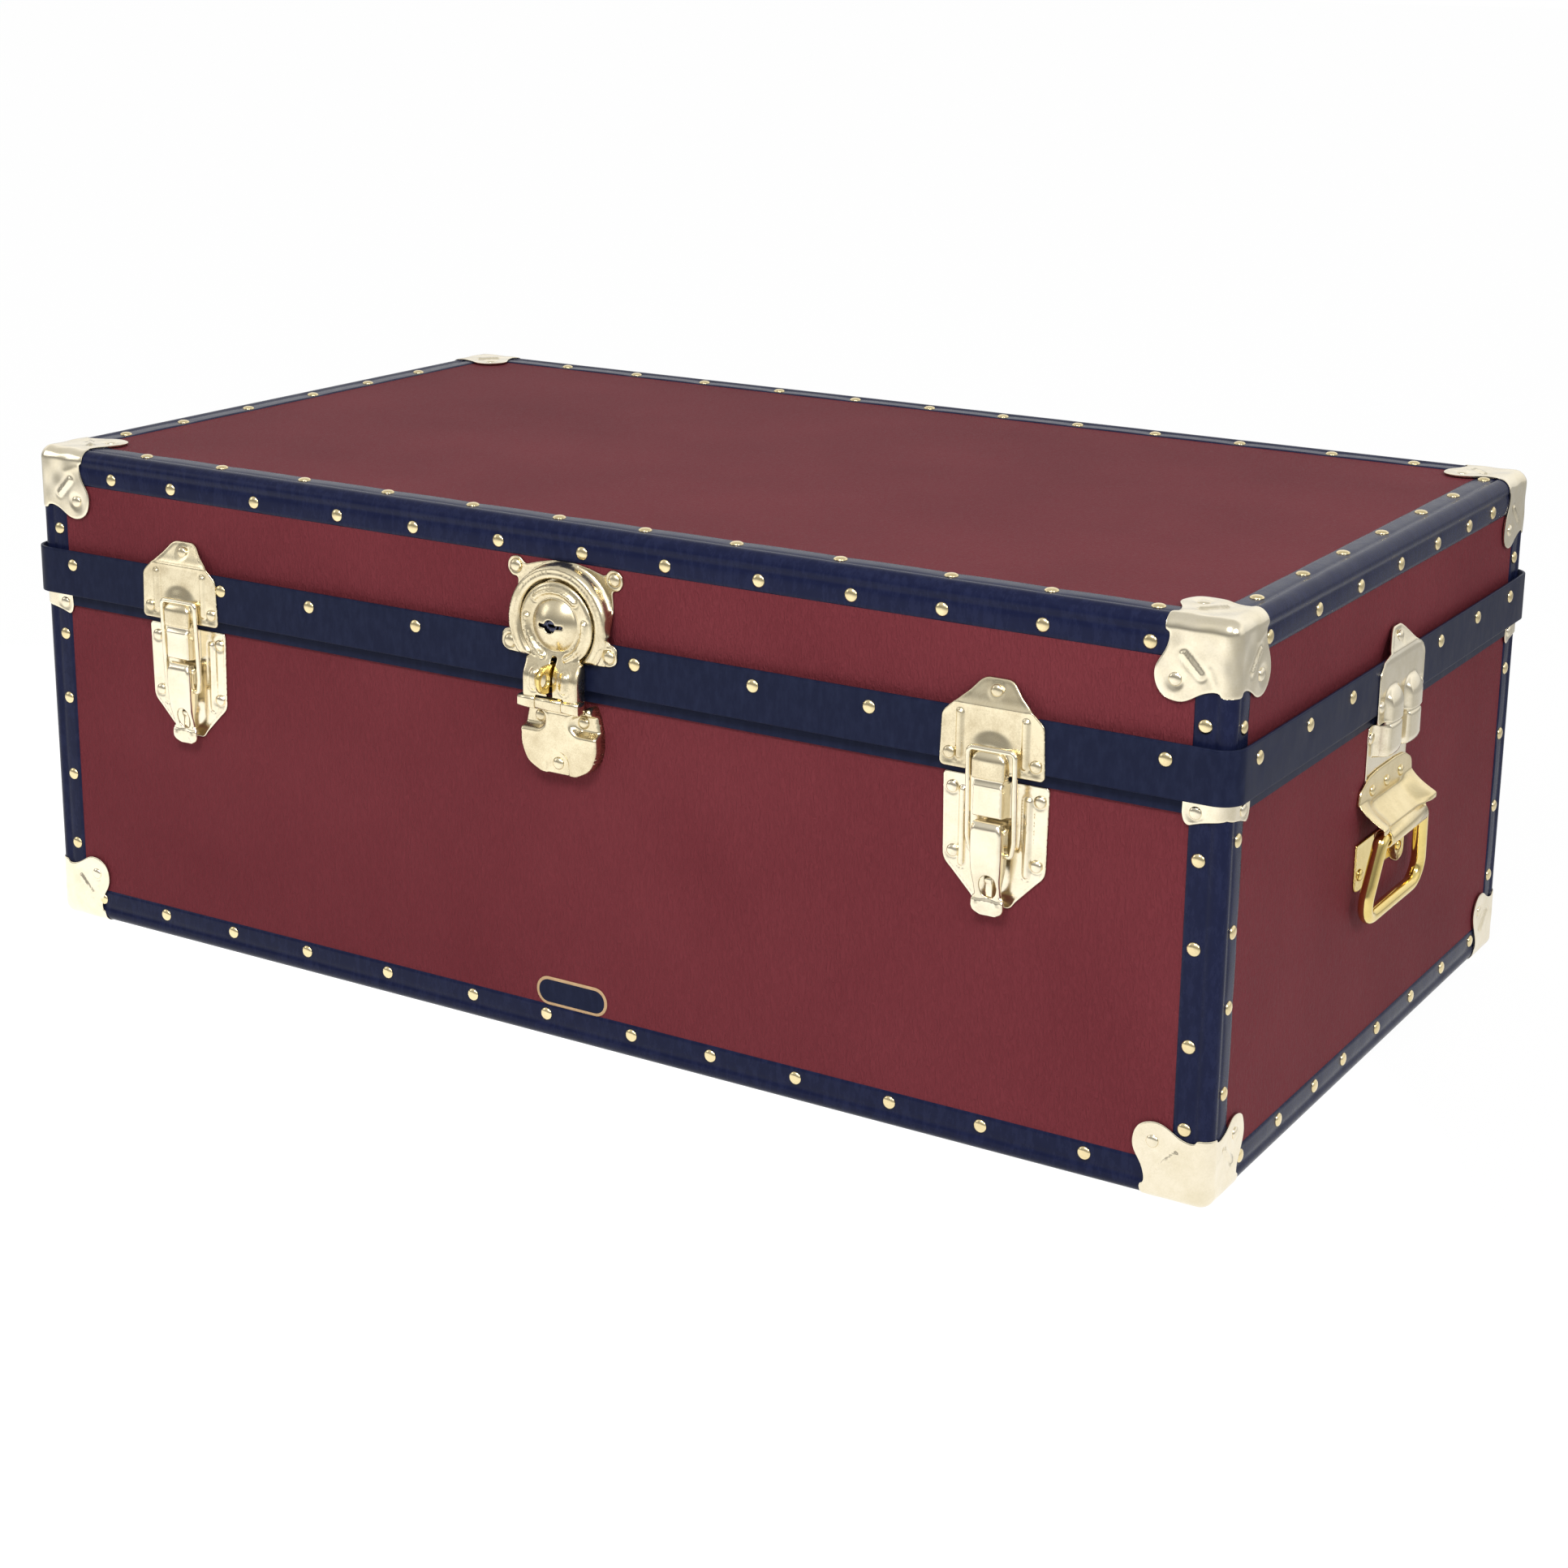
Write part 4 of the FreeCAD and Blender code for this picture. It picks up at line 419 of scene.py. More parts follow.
def pressed(build, outline, height, fold, step=1.1, guides=(), holes=(), skin=1.2, back=None, lip=0.3):
    """A sheet filled with places that follow its features. height and back give the levels of its two
    sides, fold their places in space, and lip how far the rim is turned down."""
    lines = [even(outline, step * 0.7)] + [even(hole, step * 0.5) for hole in holes]
    kept, cells = [], {}

    def offer(spots, room):
        for spot in spots:
            cell = (int(spot[0] // 1.2), int(spot[1] // 1.2))
            near = (other for i in (-1, 0, 1) for j in (-1, 0, 1)
                    for other in cells.get((cell[0] + i, cell[1] + j), ()))
            if room and any((spot[0] - p[0]) ** 2 + (spot[1] - p[1]) ** 2 < room * room for p in near):
                continue
            kept.append(spot)
            cells.setdefault(cell, []).append(spot)

    def allowed(spots, room):
        gap = distance(spots, lines[0]) < -room
        for line in lines[1:]:
            gap &= distance(spots, line) > room
        return spots[gap]

    edges, total = [], 0
    for line in lines:
        offer(line, 0)
        edges += [(total + k, total + (k + 1) % len(line)) for k in range(len(line))]
        total += len(line)
    for line in lines:
        for inset in (0.14, 0.4, 0.85):
            for gap in (inset, -inset):
                offer(allowed(beside(line, gap), inset * 0.8), 0.12 + 0.25 * inset)
    for guide, gaps, closed in guides:
        for gap in gaps:
            spots = beside(even(guide, step * 0.75, closed), gap, closed)
            offer(allowed(spots, 0.3), 0.3)
    low, high = lines[0].min(0), lines[0].max(0)
    grid = [(x + (step / 2 if k % 2 else 0), y) for k, y in enumerate(np.arange(low[1], high[1], step * 0.87))
            for x in np.arange(low[0], high[0], step)]
    offer(allowed(np.array(grid), 0.45 * step), 0.62 * step)
    spots, _, triangles = delaunay_2d_cdt([Vector(p) for p in kept], edges, [], 0, 1e-6)[:3]
    spots = np.array([tuple(p) for p in spots])
    triangles = np.array([t for t in triangles if len(t) == 3])
    middles = spots[triangles].mean(1)
    inside = distance(middles, lines[0]) < 0
    for line in lines[1:]:
        inside &= distance(middles, line) > 0
    triangles = triangles[inside]
    edge = np.abs(distance(spots, lines[0]))
    for line in lines[1:]:
        edge = np.minimum(edge, np.abs(distance(spots, line)))
    rise = height(spots)
    under = rise - skin if back is None else back(spots)
    top = fold(spots, rise - lip * (1 - np.clip(edge / 0.8, 0, 1)) ** 2)
    low_side = fold(spots, np.minimum(under, rise - lip - 0.15))
    sample = triangles[0]
    turned = np.cross(spots[sample[1]] - spots[sample[0]], spots[sample[2]] - spots[sample[0]]) > 0
    faces = [tuple(t) if turned else tuple(t[::-1]) for t in triangles.tolist()]
    count = len(spots)
    faces += [tuple(count + k for k in reversed(face)) for face in faces]
    total = 0
    for number, line in enumerate(lines):
        area = (line[:, 0] * np.roll(line[:, 1], -1) - line[:, 1] * np.roll(line[:, 0], -1)).sum()
        forward = (area > 0) == (number == 0)
        for k in range(len(line)):
            a, b = total + k, total + (k + 1) % len(line)
            quad = (a, count + a, count + b, b)
            faces.append(quad if forward else quad[::-1])
        total += len(line)
    build.add([tuple(p) for p in np.vstack([top, low_side])], faces)


def on_front(across):
    def fold(spots, out):
        spots = np.asarray(spots, float)
        return np.column_stack([MIDDLE[0] + across + spots[:, 0], LOW[1] - out, spots[:, 1]])
    return fold


def on_end(sign):
    def fold(spots, out):
        spots = np.asarray(spots, float)
        return np.column_stack([edge_of(0, sign) + sign * out, MIDDLE[1] + 0.5 + spots[:, 0], spots[:, 1]])
    return fold


def on_edge(across, side=1):
    """For a sheet that stands upright on the front, drawn from the side."""
    def fold(spots, out):
        spots = np.asarray(spots, float)
        return np.column_stack([MIDDLE[0] + across + side * out, LOW[1] - spots[:, 0], spots[:, 1]])
    return fold


def stud_head(build, fold, across, up, out, radius=4.0, height=1.9):
    """A domed rivet head seated on a fitting."""
    at = fold([(across, up)], np.array([out]))[0]
    normal = fold([(across, up)], np.array([out + 1.0]))[0] - at
    head(build, at, normal, height, radius, 20)


def tube(build, path, radius, sides, closed=False):
    """A round wire along a line of places."""
    path = np.asarray(path, float)
    count = len(path)
    if closed:
        along = np.roll(path, -1, axis=0) - np.roll(path, 1, axis=0)
    else:
        along = np.gradient(path, axis=0)
    along = along / np.linalg.norm(along, axis=1, keepdims=True)
    side = np.cross(along[0], [0.3, 0.5, 0.81])
    rings = []
    for k in range(count):
        side = side - (side @ along[k]) * along[k]
        side = side / np.linalg.norm(side)
        other = np.cross(along[k], side)
        for j in range(sides):
            turn = 2 * math.pi * j / sides
            rings.append(path[k] + radius * (side * math.cos(turn) + other * math.sin(turn)))
    faces = grid_faces(count, sides, wrap=True)
    if closed:
        base = (count - 1) * sides
        shift = int(np.argmin([np.linalg.norm(rings[base] - rings[j]) for j in range(sides)]))
        faces += [(base + j, base + (j + 1) % sides, (j + 1 + shift) % sides, (j + shift) % sides)
                  for j in range(sides)]
    else:
        faces += [tuple(range(sides))[::-1], tuple((count - 1) * sides + j for j in range(sides))]
    build.add(rings, faces)


def bent_path(corners, radii):
    """A line through corners in space, each rounded."""
    corners = [np.asarray(c, float) for c in corners]
    spots = [corners[0]]
    for k in range(1, len(corners) - 1):
        at = corners[k]
        before, after = corners[k - 1] - at, corners[k + 1] - at
        lengths = np.linalg.norm(before), np.linalg.norm(after)
        before, after = before / lengths[0], after / lengths[1]
        half = math.acos(float(np.clip(before @ after, -1, 1))) / 2
        if half > 1.56:
            continue
        reach = min(radii[k - 1] / math.tan(half), 0.49 * lengths[0], 0.49 * lengths[1])
        radius = reach * math.tan(half)
        middle = before + after
        centre = at + middle / np.linalg.norm(middle) * radius / math.sin(half)
        first, last = at + before * reach - centre, at + after * reach - centre
        turn = math.acos(float(np.clip(first @ last / radius ** 2, -1, 1)))
        for i in range(9):
            a, b = math.sin(turn * (1 - i / 8)) / math.sin(turn), math.sin(turn * i / 8) / math.sin(turn)
            spots.append(centre + a * first + b * last)
    spots.append(corners[-1])
    return spots


def bead_rise(gap, rise, inner=-1.4):
    """A bead with a fine groove beside it, by the distance from its edge."""
    return rise * (1 - smooth_step(gap, inner, 0.3)) - ridge(gap, 0.9, 0.7, 0.3)


def dimple(spots, across, up, depth=0.3, inner=4.0, outer=6.2):
    return -depth * (1 - smooth_step(np.hypot(spots[:, 0] - across, spots[:, 1] - up), inner, outer))


def panel_edge(spots, outline, depth=0.35, inset=1.5):
    """A shallow pressing that leaves a raised rim."""
    return -depth * smooth_step(-distance(spots, outline), inset - 0.5, inset + 0.9)


def rib(spots, across, low, high, half, rise):
    """An upright pressed rib with round ends."""
    gap = capsule(spots[:, 0], spots[:, 1], (across, low + half), (across, high - half)) - half
    return bead_rise(gap, rise)


def stadium(across, low, high, half):
    return rounded([(across - half, low, half), (across + half, low, half),
                    (across + half, high, half), (across - half, high, half)])


def oblong(half, low, high, foot, top, across=0.0):
    """A rectangle with one rounding at its foot and another at its top."""
    return rounded([(across - half, low, foot), (across + half, low, foot),
                    (across + half, high, top), (across - half, high, top)])


def rows(half, ups):
    """Level guides across a sheet."""
    return [(np.array([(-half, up), (half, up)]), (0,), False) for up in ups]


def flat(level):
    return lambda spots: np.full(len(spots), float(level))


# Nails: a domed head on a short rim, turned about the way that it faces
HEAD_RADIUS = 4.35
HEAD_PROFILE = [(1.0, -0.5), (1.0, 0.16), (0.97, 0.3), (0.86, 0.56), (0.66, 0.8), (0.4, 0.95), (0.17, 0.995)]


def head(build, at, normal, height=1.75, radius=HEAD_RADIUS, sides=18):
    at, normal = Vector(at), Vector(normal).normalized()
    across = normal.orthogonal().normalized()
    up = normal.cross(across)
    points = []
    for share, rise in HEAD_PROFILE:
        for k in range(sides):
            turn = 2 * math.pi * k / sides
            spoke = across * math.cos(turn) + up * math.sin(turn)
            points.append(at + spoke * radius * share + normal * rise * height)
    points.append(at + normal * height)
    top = len(points) - 1
    last = (len(HEAD_PROFILE) - 1) * sides
    faces = grid_faces(len(HEAD_PROFILE), sides, wrap=True)
    faces += [(last + k, last + (k + 1) % sides, top) for k in range(sides)]
    faces.append(tuple(range(sides))[::-1])
    build.add(points, faces)


# Places of the nails along each leg of the bindings, seen from the middle of the trunk
FRONT_TOP = [-387, -331, -255, -182, -118, -48.5, 17, 79.5, 147.5, 212, 273, 338, 404.5]
FRONT_BOTTOM = [-416.5, -354, -289.5, -221, -149, -75.5, -14.5, 53.5, 114.5, 178, 245.5, 308.5, 377.5]
TOP_FRONT = [-367.5, -297.5, -223.5, -151.5, -81, -12, 54, 121.5, 195, 270, 335, 401.5]
TOP_BACK = [-354.5, -284.5, -217.5, -146, -75.5, -9, 55, 118, 181.5, 248.5, 319, 380]
TOP_RIGHT = [-193, -122.5, -56.5, 11.5, 85, 149, 213.5]
TOP_LEFT = [-189, -129, -57.5, 17.5, 85, 150]
RIGHT_TOP = [-212, -136, -67, 4, 73, 136, 186]
RIGHT_BOTTOM = [-212, -151.7, -91.7, -41.7, 20, 86, 149, 210.7]
LEFT_TOP = [-186, -131, -66, 2, 71, 138, 205]
LEFT_BOTTOM = [-209, -147, -88, -22, 41, 95, 152, 212]
BACK_TOP = [-402, -336, -271, -206, -141, -78, -12, 53, 121, 188, 254, 327, 392]
BACK_BOTTOM = [-380, -312, -243, -180, -112, -51, 13, 78, 146, 219, 288, 351, 414]
UNDER_LONG = [-392, -322, -250, -183, -115, -47, 20, 88, 151, 221, 290, 358, 402]
UNDER_SHORT = [-198, -132, -64, 3, 70, 139, 203]
UPRIGHT = {
    (-1, -1, 1): [57.5, 110.5, 168.5, 216.5, 294],
    (1, -1, 1): [48.5, 100, 159.5, 212.5, 291],
    (1, -1, 0): [69, 122, 168, 223, 289],
    (1, 1, 0): [59, 111, 165, 213, 293],
    (-1, -1, 0): [62, 117, 170, 219, 291],
    (-1, 1, 0): [52, 104, 161, 215, 290],
    (-1, 1, 1): [60, 113, 163, 214, 292],
    (1, 1, 1): [54, 108, 166, 218, 289],
}
NAIL_IN = 17.2
BEAD_RISE = 0.55
FIBRE_SKIN = 1.3
END_GAP = 9.2                             # the strips end this far from the case's corners
# Places across half a strip, on its face and on its back
STRIP = [0, 1.2, 2.7, 4.5, 6.5, 8.0, 9.2, 10.2, 11.2, 12.2, 13.3, 15, 17.2, 19.3, 21.5, 23.4, 24.05, 24.3]
STRIP_BACK = [0, 2.0, 4.5, 8.5, 16, 24.3]


def mirrored(half):
    return np.array([-share for share in half[:0:-1]] + half)


def binding(build, axis, first, second, span, first_nails, second_nails, nails):
    """One strip folded over an edge that runs along an axis. first and second are (axis, sign) of
    the faces it folds over, each with the places of its nails along the edge."""
    centre = MIDDLE[axis] if axis < 2 else 0
    places = set(np.arange(span[0], span[1], 9.0)) | {span[1]}
    for nail in first_nails + second_nails:
        places |= {nail + shift for shift in (-7.5, -5, -2.5, 0, 2.5, 5, 7.5)
                   if span[0] < nail + shift < span[1]}
    places = np.array(sorted(places))
    keep = np.concatenate([[True], np.diff(places) > 0.8])
    keep[-1] = True
    places = places[keep]
    outer, inner = mirrored(STRIP), mirrored(STRIP_BACK)

    def corner_points(shares):
        grid = np.zeros((len(places), len(shares), 3))
        grid[..., axis] = centre + places[:, None]
        for (face, sign), reach in ((first, np.maximum(shares, 0)), (second, np.maximum(-shares, 0))):
            grid[..., face] = edge_of(face, sign) - sign * reach
        return grid.reshape(-1, 3)

    def rise(shares):
        depth = np.abs(shares)
        profile = -BEAD_RISE * smooth_step(depth, 6.5, 11.0) - 0.75 * smooth_step(depth, 23.3, 24.3)
        profile = profile - ridge(depth, 11.2, 1.5, 0.5) + ridge(depth, 17.0, 3.5, 0.15)
        field = np.tile(profile, (len(places), 1))
        for nail_list, side in ((first_nails, -1), (second_nails, 1)):
            on_leg, slope = shares * side > 0, smooth_step(shares * side, 6, 15)
            for nail in nail_list:
                along = places[:, None] - nail
                near = np.hypot(along, shares * side - NAIL_IN)
                field -= on_leg * (ridge(near, 0, 6.5, 0.35) + ridge(along, 0, 16.0, 0.22) * slope)
        return field.ravel()

    top = on_case(corner_points(outer), rise(outer))
    under = corner_points(inner)
    under = on_case(under, np.full(len(under), -FIBRE_SKIN))
    count, wide, thin = len(places), len(outer), len(inner)
    base = count * wide
    faces = grid_faces(count, wide) + grid_faces(count, thin, base, flip=True)
    for i in range(count - 1):
        faces.append((i * wide, (i + 1) * wide, base + (i + 1) * thin, base + i * thin))
        faces.append(((i + 1) * wide - 1, base + (i + 1) * thin - 1, base + (i + 2) * thin - 1,
                      (i + 2) * wide - 1))
    for i in (0, count - 1):
        loop = [i * wide + j for j in range(wide)] + [base + i * thin + j for j in reversed(range(thin))]
        faces.append(tuple(loop if i else loop[::-1]))
    build.add([tuple(p) for p in np.vstack([top, under])], faces)
    for (face, sign), (other, way), nail_list in ((first, second, first_nails), (second, first, second_nails)):
        for nail in nail_list:
            at = np.zeros(3)
            at[axis] = centre + nail
            at[face] = edge_of(face, sign) - sign * (BEAD_RISE + 0.38)
            at[other] = edge_of(other, way) - way * NAIL_IN
            head(nails, at, facing(face, sign), 1.3 if face == 2 and sign < 0 else 1.85)


base_nails, lid_nails = Build(), Build()
for side, axis, sign, top_leg, wall_leg, under_leg, foot_leg in (
        ("front", 0, -1, TOP_FRONT, FRONT_TOP, UNDER_LONG, FRONT_BOTTOM),
        ("back", 0, 1, TOP_BACK, BACK_TOP, UNDER_LONG, BACK_BOTTOM),
        ("left", 1, -1, TOP_LEFT, LEFT_TOP, UNDER_SHORT, LEFT_BOTTOM),
        ("right", 1, 1, TOP_RIGHT, RIGHT_TOP, UNDER_SHORT, RIGHT_BOTTOM)):
    run, wall = (-HALF[axis] + END_GAP, HALF[axis] - END_GAP), (1 - axis, sign)
    for body, way, first_leg, second_leg, nails in (("lid", 1, wall_leg, top_leg, lid_nails),
                                                    ("base", -1, foot_leg, under_leg, base_nails)):
        strip = made(binding, axis, wall, (2, way), run, first_leg, second_leg, nails)
        strip.piece("%s_%s_edge" % (body, side), body, "edge_fibre", "%s_%s_binding" % (body, side))
for body, run, nails in (("base", (LOW[2] + END_GAP, SEAM), base_nails),
                         ("lid", (SEAM + 0.4, HIGH[2] - END_GAP), lid_nails)):
    strips = Build()
    for sx in SIDES:
        for sy in SIDES:
            legs = [[z for z in UPRIGHT[sx, sy, leg] if run[0] < z < run[1]] for leg in (1, 0)]
            binding(strips, 2, (1, sy), (0, sx), run, *legs, nails)
    strips.piece(body + "_corner_edges", body, "edge_fibre", body + "_corner_bindings")

# Band round the lid: a fibre strip that stands off on a packing
BAND_OUT, BAND_RADIUS, BAND_SKIN = 5.4, 15.0, 1.9
BAND_LOW, BAND_HIGH = 247.6, 280.5
BAND_NAIL_UP = 270.2
# Nails of its front, right, back and left
BAND_NAILS = ([-423, -283, -204, -113, 60.5, 147.5, 229, 419.5],
              [-232, -155, -85, 76, 151, 221],
              [-421, -360, -236, -158, -70, 12, 96, 171, 238, 352, 418],
              [-224, -148, -79, 81, 158, 230])


def ring_path():
    """Places round the band's plan, closer together at its corners and its nails."""
    half = HALF[:2] + BAND_OUT
    bends = [BAND_RADIUS * (1 - math.tan(math.radians(45 - a))) for a in (5, 12, 20, 28, 36, 44)]
    stops = []
    for k, corner in enumerate(CORNERS):
        start, end = MIDDLE[:2] + half * corner, MIDDLE[:2] + half * CORNERS[(k + 1) % 4]
        length = np.linalg.norm(end - start)
        sign = 1 if (end - start).sum() > 0 else -1
        here = set(np.arange(20, length - 19, 11.0)) | {0.0} | set(bends) | {length - bend for bend in bends}
        for nail in BAND_NAILS[k]:
            here |= {length / 2 + sign * nail + shift for shift in (-8, -5.5, -3, 0, 3, 5.5, 8)}
        here = np.array(sorted(here))
        here = here[np.concatenate([[True], np.diff(here) > 0.9])]
        stops += [start + (end - start) / length * along for along in here]
    return np.array(stops)


def band_nail_places():
    """Where each nail of the band stands and the way that it faces."""
    places = []
    for nails, axis, sign in zip(BAND_NAILS, (0, 1, 0, 1), (-1, 1, 1, -1)):
        for nail in nails:
            at = np.zeros(3)
            at[axis] = MIDDLE[axis] + nail
            at[1 - axis] = edge_of(1 - axis, sign) + sign * BAND_OUT
            at[2] = BAND_NAIL_UP
            places.append((at, facing(1 - axis, sign)))
    return places


def around(build, path, section, dents=()):
    """A closed section of (out, up) corners swept round the plan."""
    columns = []
    for out, up in section:
        sink = np.zeros(len(path))
        for at, _ in dents:
            sink += ridge(np.hypot(np.linalg.norm(path - at[:2], axis=1), up - at[2]), 0, 7.0, 0.45)
        spots = np.column_stack([path, np.full(len(path), up)])
        level = out - BAND_OUT - sink * (out > BAND_OUT - 1.0)
        columns.append(on_case(spots, level, BAND_RADIUS, True, BAND_OUT))
    grid = np.stack(columns, axis=1)
    build.add([tuple(p) for p in grid.reshape(-1, 3)], ring_faces(len(path), len(section)))


nail_places, path = band_nail_places(), ring_path()
behind = BAND_OUT - BAND_SKIN
section = [(BAND_OUT - 0.55, BAND_LOW), (BAND_OUT - 0.15, BAND_LOW + 0.15)]
section += [(BAND_OUT, up) for up in (BAND_LOW + 0.5, BAND_LOW + 1.4, BAND_LOW + 5, 258, 262.5, 266, 268.5,
                                      270.2, 272, 274.5, 277.5, BAND_HIGH - 1.4, BAND_HIGH - 0.5)]
section += [(BAND_OUT - 0.15, BAND_HIGH - 0.15), (BAND_OUT - 0.55, BAND_HIGH), (behind + 0.3, BAND_HIGH),
            (behind, BAND_HIGH - 0.3), (behind, BAND_LOW + 0.3), (behind + 0.3, BAND_LOW)]
band = made(around, path, section, nail_places)
around(band, path, [(behind - 0.02, 254.6), (behind - 0.02, 275.0), (behind - 0.6, 275.5), (-1.2, 275.5),
                    (-1.2, 254.6)])
band.piece("band", "lid", "navy_fibre", "lid_band")
for at, normal in nail_places:
    head(lid_nails, at - normal * 0.42, normal, 1.9)

# Corner caps: each is three lobes pressed from one sheet, drawn from the case's corner outwards
CAP_HALF = [(43.3, 0), (43.3, 3.5), (43.25, 6.6), (42.7, 8.2), (41.6, 9.0), (40.8, 9.9), (40.5, 12), (40.9, 15),
            (42.2, 19), (44.3, 23), (46.6, 26.8), (48.2, 30.6), (48.7, 34.5), (48.1, 38.8), (46.8, 42.2),
            (44.9, 44.9)]
CAP_RIVET = 36.2
CAP_RIB = 26.2
CAP_RISE = 0.85


def cap_height(a, b, seed):
    """Rise of a cap's face at (a, b) from the case's corner."""
    gap = capsule(a, b, (CAP_RIB + 5.4, CAP_RIB - 5.4), (CAP_RIB - 5.4, CAP_RIB + 5.4))
    rise = CAP_RISE + 0.95 * (1 - smooth_step(gap, 0.5, 2.3)) - ridge(gap, 3.2, 1.2, 0.22)
    rise = rise - 0.55 * (1 - smooth_step(np.hypot(a - CAP_RIVET, b - CAP_RIVET), 4.2, 7.0))
    mark = capsule(a, b, (38, 11.5), (27, 15.5)) if seed % 2 else capsule(a, b, (11.5, 37), (15.5, 28))
    rise = rise + ridge(mark, 0, 1.6, 0.2) - ridge(np.hypot(a - 18, b - 18), 0, 7.0, 0.25)
    return rise + 0.16 * np.sin(a * 0.31 + seed) * np.sin(b * 0.27 + 2 * seed)


def corner_cap(build, signs, seed):
    line = smooth_line(CAP_HALF, 4)
    outline = np.vstack([line, line[-2::-1][:, ::-1]])
    shares = np.concatenate([np.linspace(0, 0.86, 40), [0.90, 0.935, 0.96, 0.98, 0.992, 1.0]])
    corner = np.array([edge_of(k, sign) for k, sign in enumerate(signs)])
    a, b = (outline[:, k][:, None] * shares for k in (0, 1))
    lip = np.clip(1 - np.hypot(*outline.T)[:, None] * (1 - shares) / 1.3, 0, 1)
    # Rounding of the bend fades the face's own relief
    fade = smooth_step(np.minimum(a, b), 0.0, 6.0)
    turns, count = a.shape
    for face in range(3):
        first, second = [k for k in range(3) if k != face]
        rise = CAP_RISE + (cap_height(a, b, seed + face) - CAP_RISE) * fade - 0.35 * lip ** 2
        spots = np.zeros(a.shape + (3,))
        spots[..., first], spots[..., second] = a, b
        spots = corner - signs * spots
        top = on_case(spots.reshape(-1, 3), rise.ravel())
        rim = on_case(spots[:, -1], np.full(turns, -0.3))
        faces = grid_faces(turns, count)
        faces += [((i + 1) * count - 1, (i + 2) * count - 1, turns * count + i + 1, turns * count + i)
                  for i in range(turns - 1)]
        here, along, beyond = (top[k] for k in (5 * count + 20, 5 * count + 21, 6 * count + 20))
        if np.cross(along - here, beyond - here)[face] * signs[face] <= 0:
            faces = [face_now[::-1] for face_now in faces]
        build.add([tuple(p) for p in np.vstack([top, rim])], faces, closed=False)
        at = corner - signs * CAP_RIVET
        at[face] = corner[face] + signs[face] * 0.15
        head(build, at, facing(face, signs[face]), 1.15 if face == 2 else 1.7, 4.0)


for body, sz in (("base", -1), ("lid", 1)):
    caps = Build()
    for seed, (sx, sy) in enumerate(CORNERS):
        corner_cap(caps, np.array([sx, sy, sz]), seed + 4 * (sz > 0))
    caps.piece(body + "_caps", body, "pale_brass", body + "_corner_caps")

# Clips on the upright edges, just under the band
CLIP_TOP = [(0, 251), (14, 251), (24, 251), (26.4, 250.6), (27.6, 248.6)]
CLIP_LOW = [(0, 238.2), (14, 235.6), (20, 234.0), (24, 232.8), (26.6, 234.6), (28.0, 239), (27.9, 244),
            (27.6, 248.6)]
CLIP_SHARES = np.array([0, 0.02, 0.06, 0.12, 0.2, 0.3, 0.4, 0.5, 0.6, 0.7, 0.8, 0.88, 0.94, 0.98, 1.0])
CLIP_STUD = (20.0, 240.5)


def spaced(line, shares):
    """Places at shares of a line's length."""
    along = np.concatenate([[0], np.cumsum(np.hypot(*np.diff(line, axis=0).T))])
    return [np.interp(shares * along[-1], along, line[:, k])[:, None] for k in (0, 1)]


def corner_clip(build, signs):
    reach = np.linspace(0, 1, 40)
    low, high = spaced(smooth_line(CLIP_LOW, 5), reach), spaced(smooth_line(CLIP_TOP, 10), reach)
    a, z = (low[k] * (1 - CLIP_SHARES) + high[k] * CLIP_SHARES for k in (0, 1))
    rise = 0.9 - 0.5 * (1 - smooth_step(np.hypot(a - CLIP_STUD[0], z - CLIP_STUD[1]), 4.2, 7.0))
    rise = rise - 0.3 * np.clip(1 - CLIP_SHARES / 0.06, 0, 1) ** 2
    count, wide = a.shape
    for face, other in ((1, 0), (0, 1)):
        spots = np.zeros(a.shape + (3,))
        spots[..., face] = edge_of(face, signs[face])
        spots[..., other] = edge_of(other, signs[other]) - signs[other] * a
        spots[..., 2] = z
        spots = spots.reshape(-1, 3)
        top = on_case(spots, rise.ravel(), EDGE_RADIUS, True)
        under = on_case(spots, np.full(rise.size, -0.2), EDGE_RADIUS, True)
        faces = grid_faces(count, wide) + grid_faces(count, wide, count * wide, flip=True)
        for i in range(count - 1):
            for j in (0, wide - 1):
                quad = (i * wide + j, (i + 1) * wide + j, (count + i + 1) * wide + j, (count + i) * wide + j)
                faces.append(quad if j == 0 else quad[::-1])
        build.add([tuple(p) for p in np.vstack([top, under])], faces)
        at = np.array([0, 0, CLIP_STUD[1]])
        at[face] = edge_of(face, signs[face]) + signs[face] * 0.3
        at[other] = edge_of(other, signs[other]) - signs[other] * CLIP_STUD[0]
        head(build, at, facing(face, signs[face]), 1.6, 3.9)


clips = Build()
for signs in CORNERS:
    corner_clip(clips, signs)
clips.piece("clips", "base", "pale_brass", "band_clips")

# Draw latches: keeper on the lid, plate with a raised dowel, lever and wire loop on the base
KEEPER_HALF = [(0, 240.8, 0), (11.4, 240.8, 1.2), (11.6, 243.8, 0.4), (34.4, 243.8, 3.2), (33.2, 276.5, 7.0),
               (28.4, 281.0, 9.0), (17.0, 290.8, 14.0), (9.5, 299.4, 9.0), (0, 299.4, 0)]
LATCH_HALF = [(0, 160.4, 0), (11.5, 160.4, 5.0), (14.8, 165.0, 6.0), (27.5, 178.0, 12.0), (33.8, 184.0, 10.0),
              (34.7, 238.6, 2.6), (10.35, 238.6, 0.4), (10.2, 247.0, 1.5), (0, 247.0, 0)]
DOME = oblong(11.4, 236.0, 257.8, 0, 6.5)
DOWEL = oblong(10.2, 216.6, 262.0, 0.5, 0.5)
SKIN = 1.3                                # thickness of the pressed sheets
ON_BAND, ON_CLOTH = 6.75, 0.15            # levels of the keepers' and the plates' faces
FOLD_UP, LEAN_RUN = 283.0, 16.4           # where the keepers lean back from the band to the case
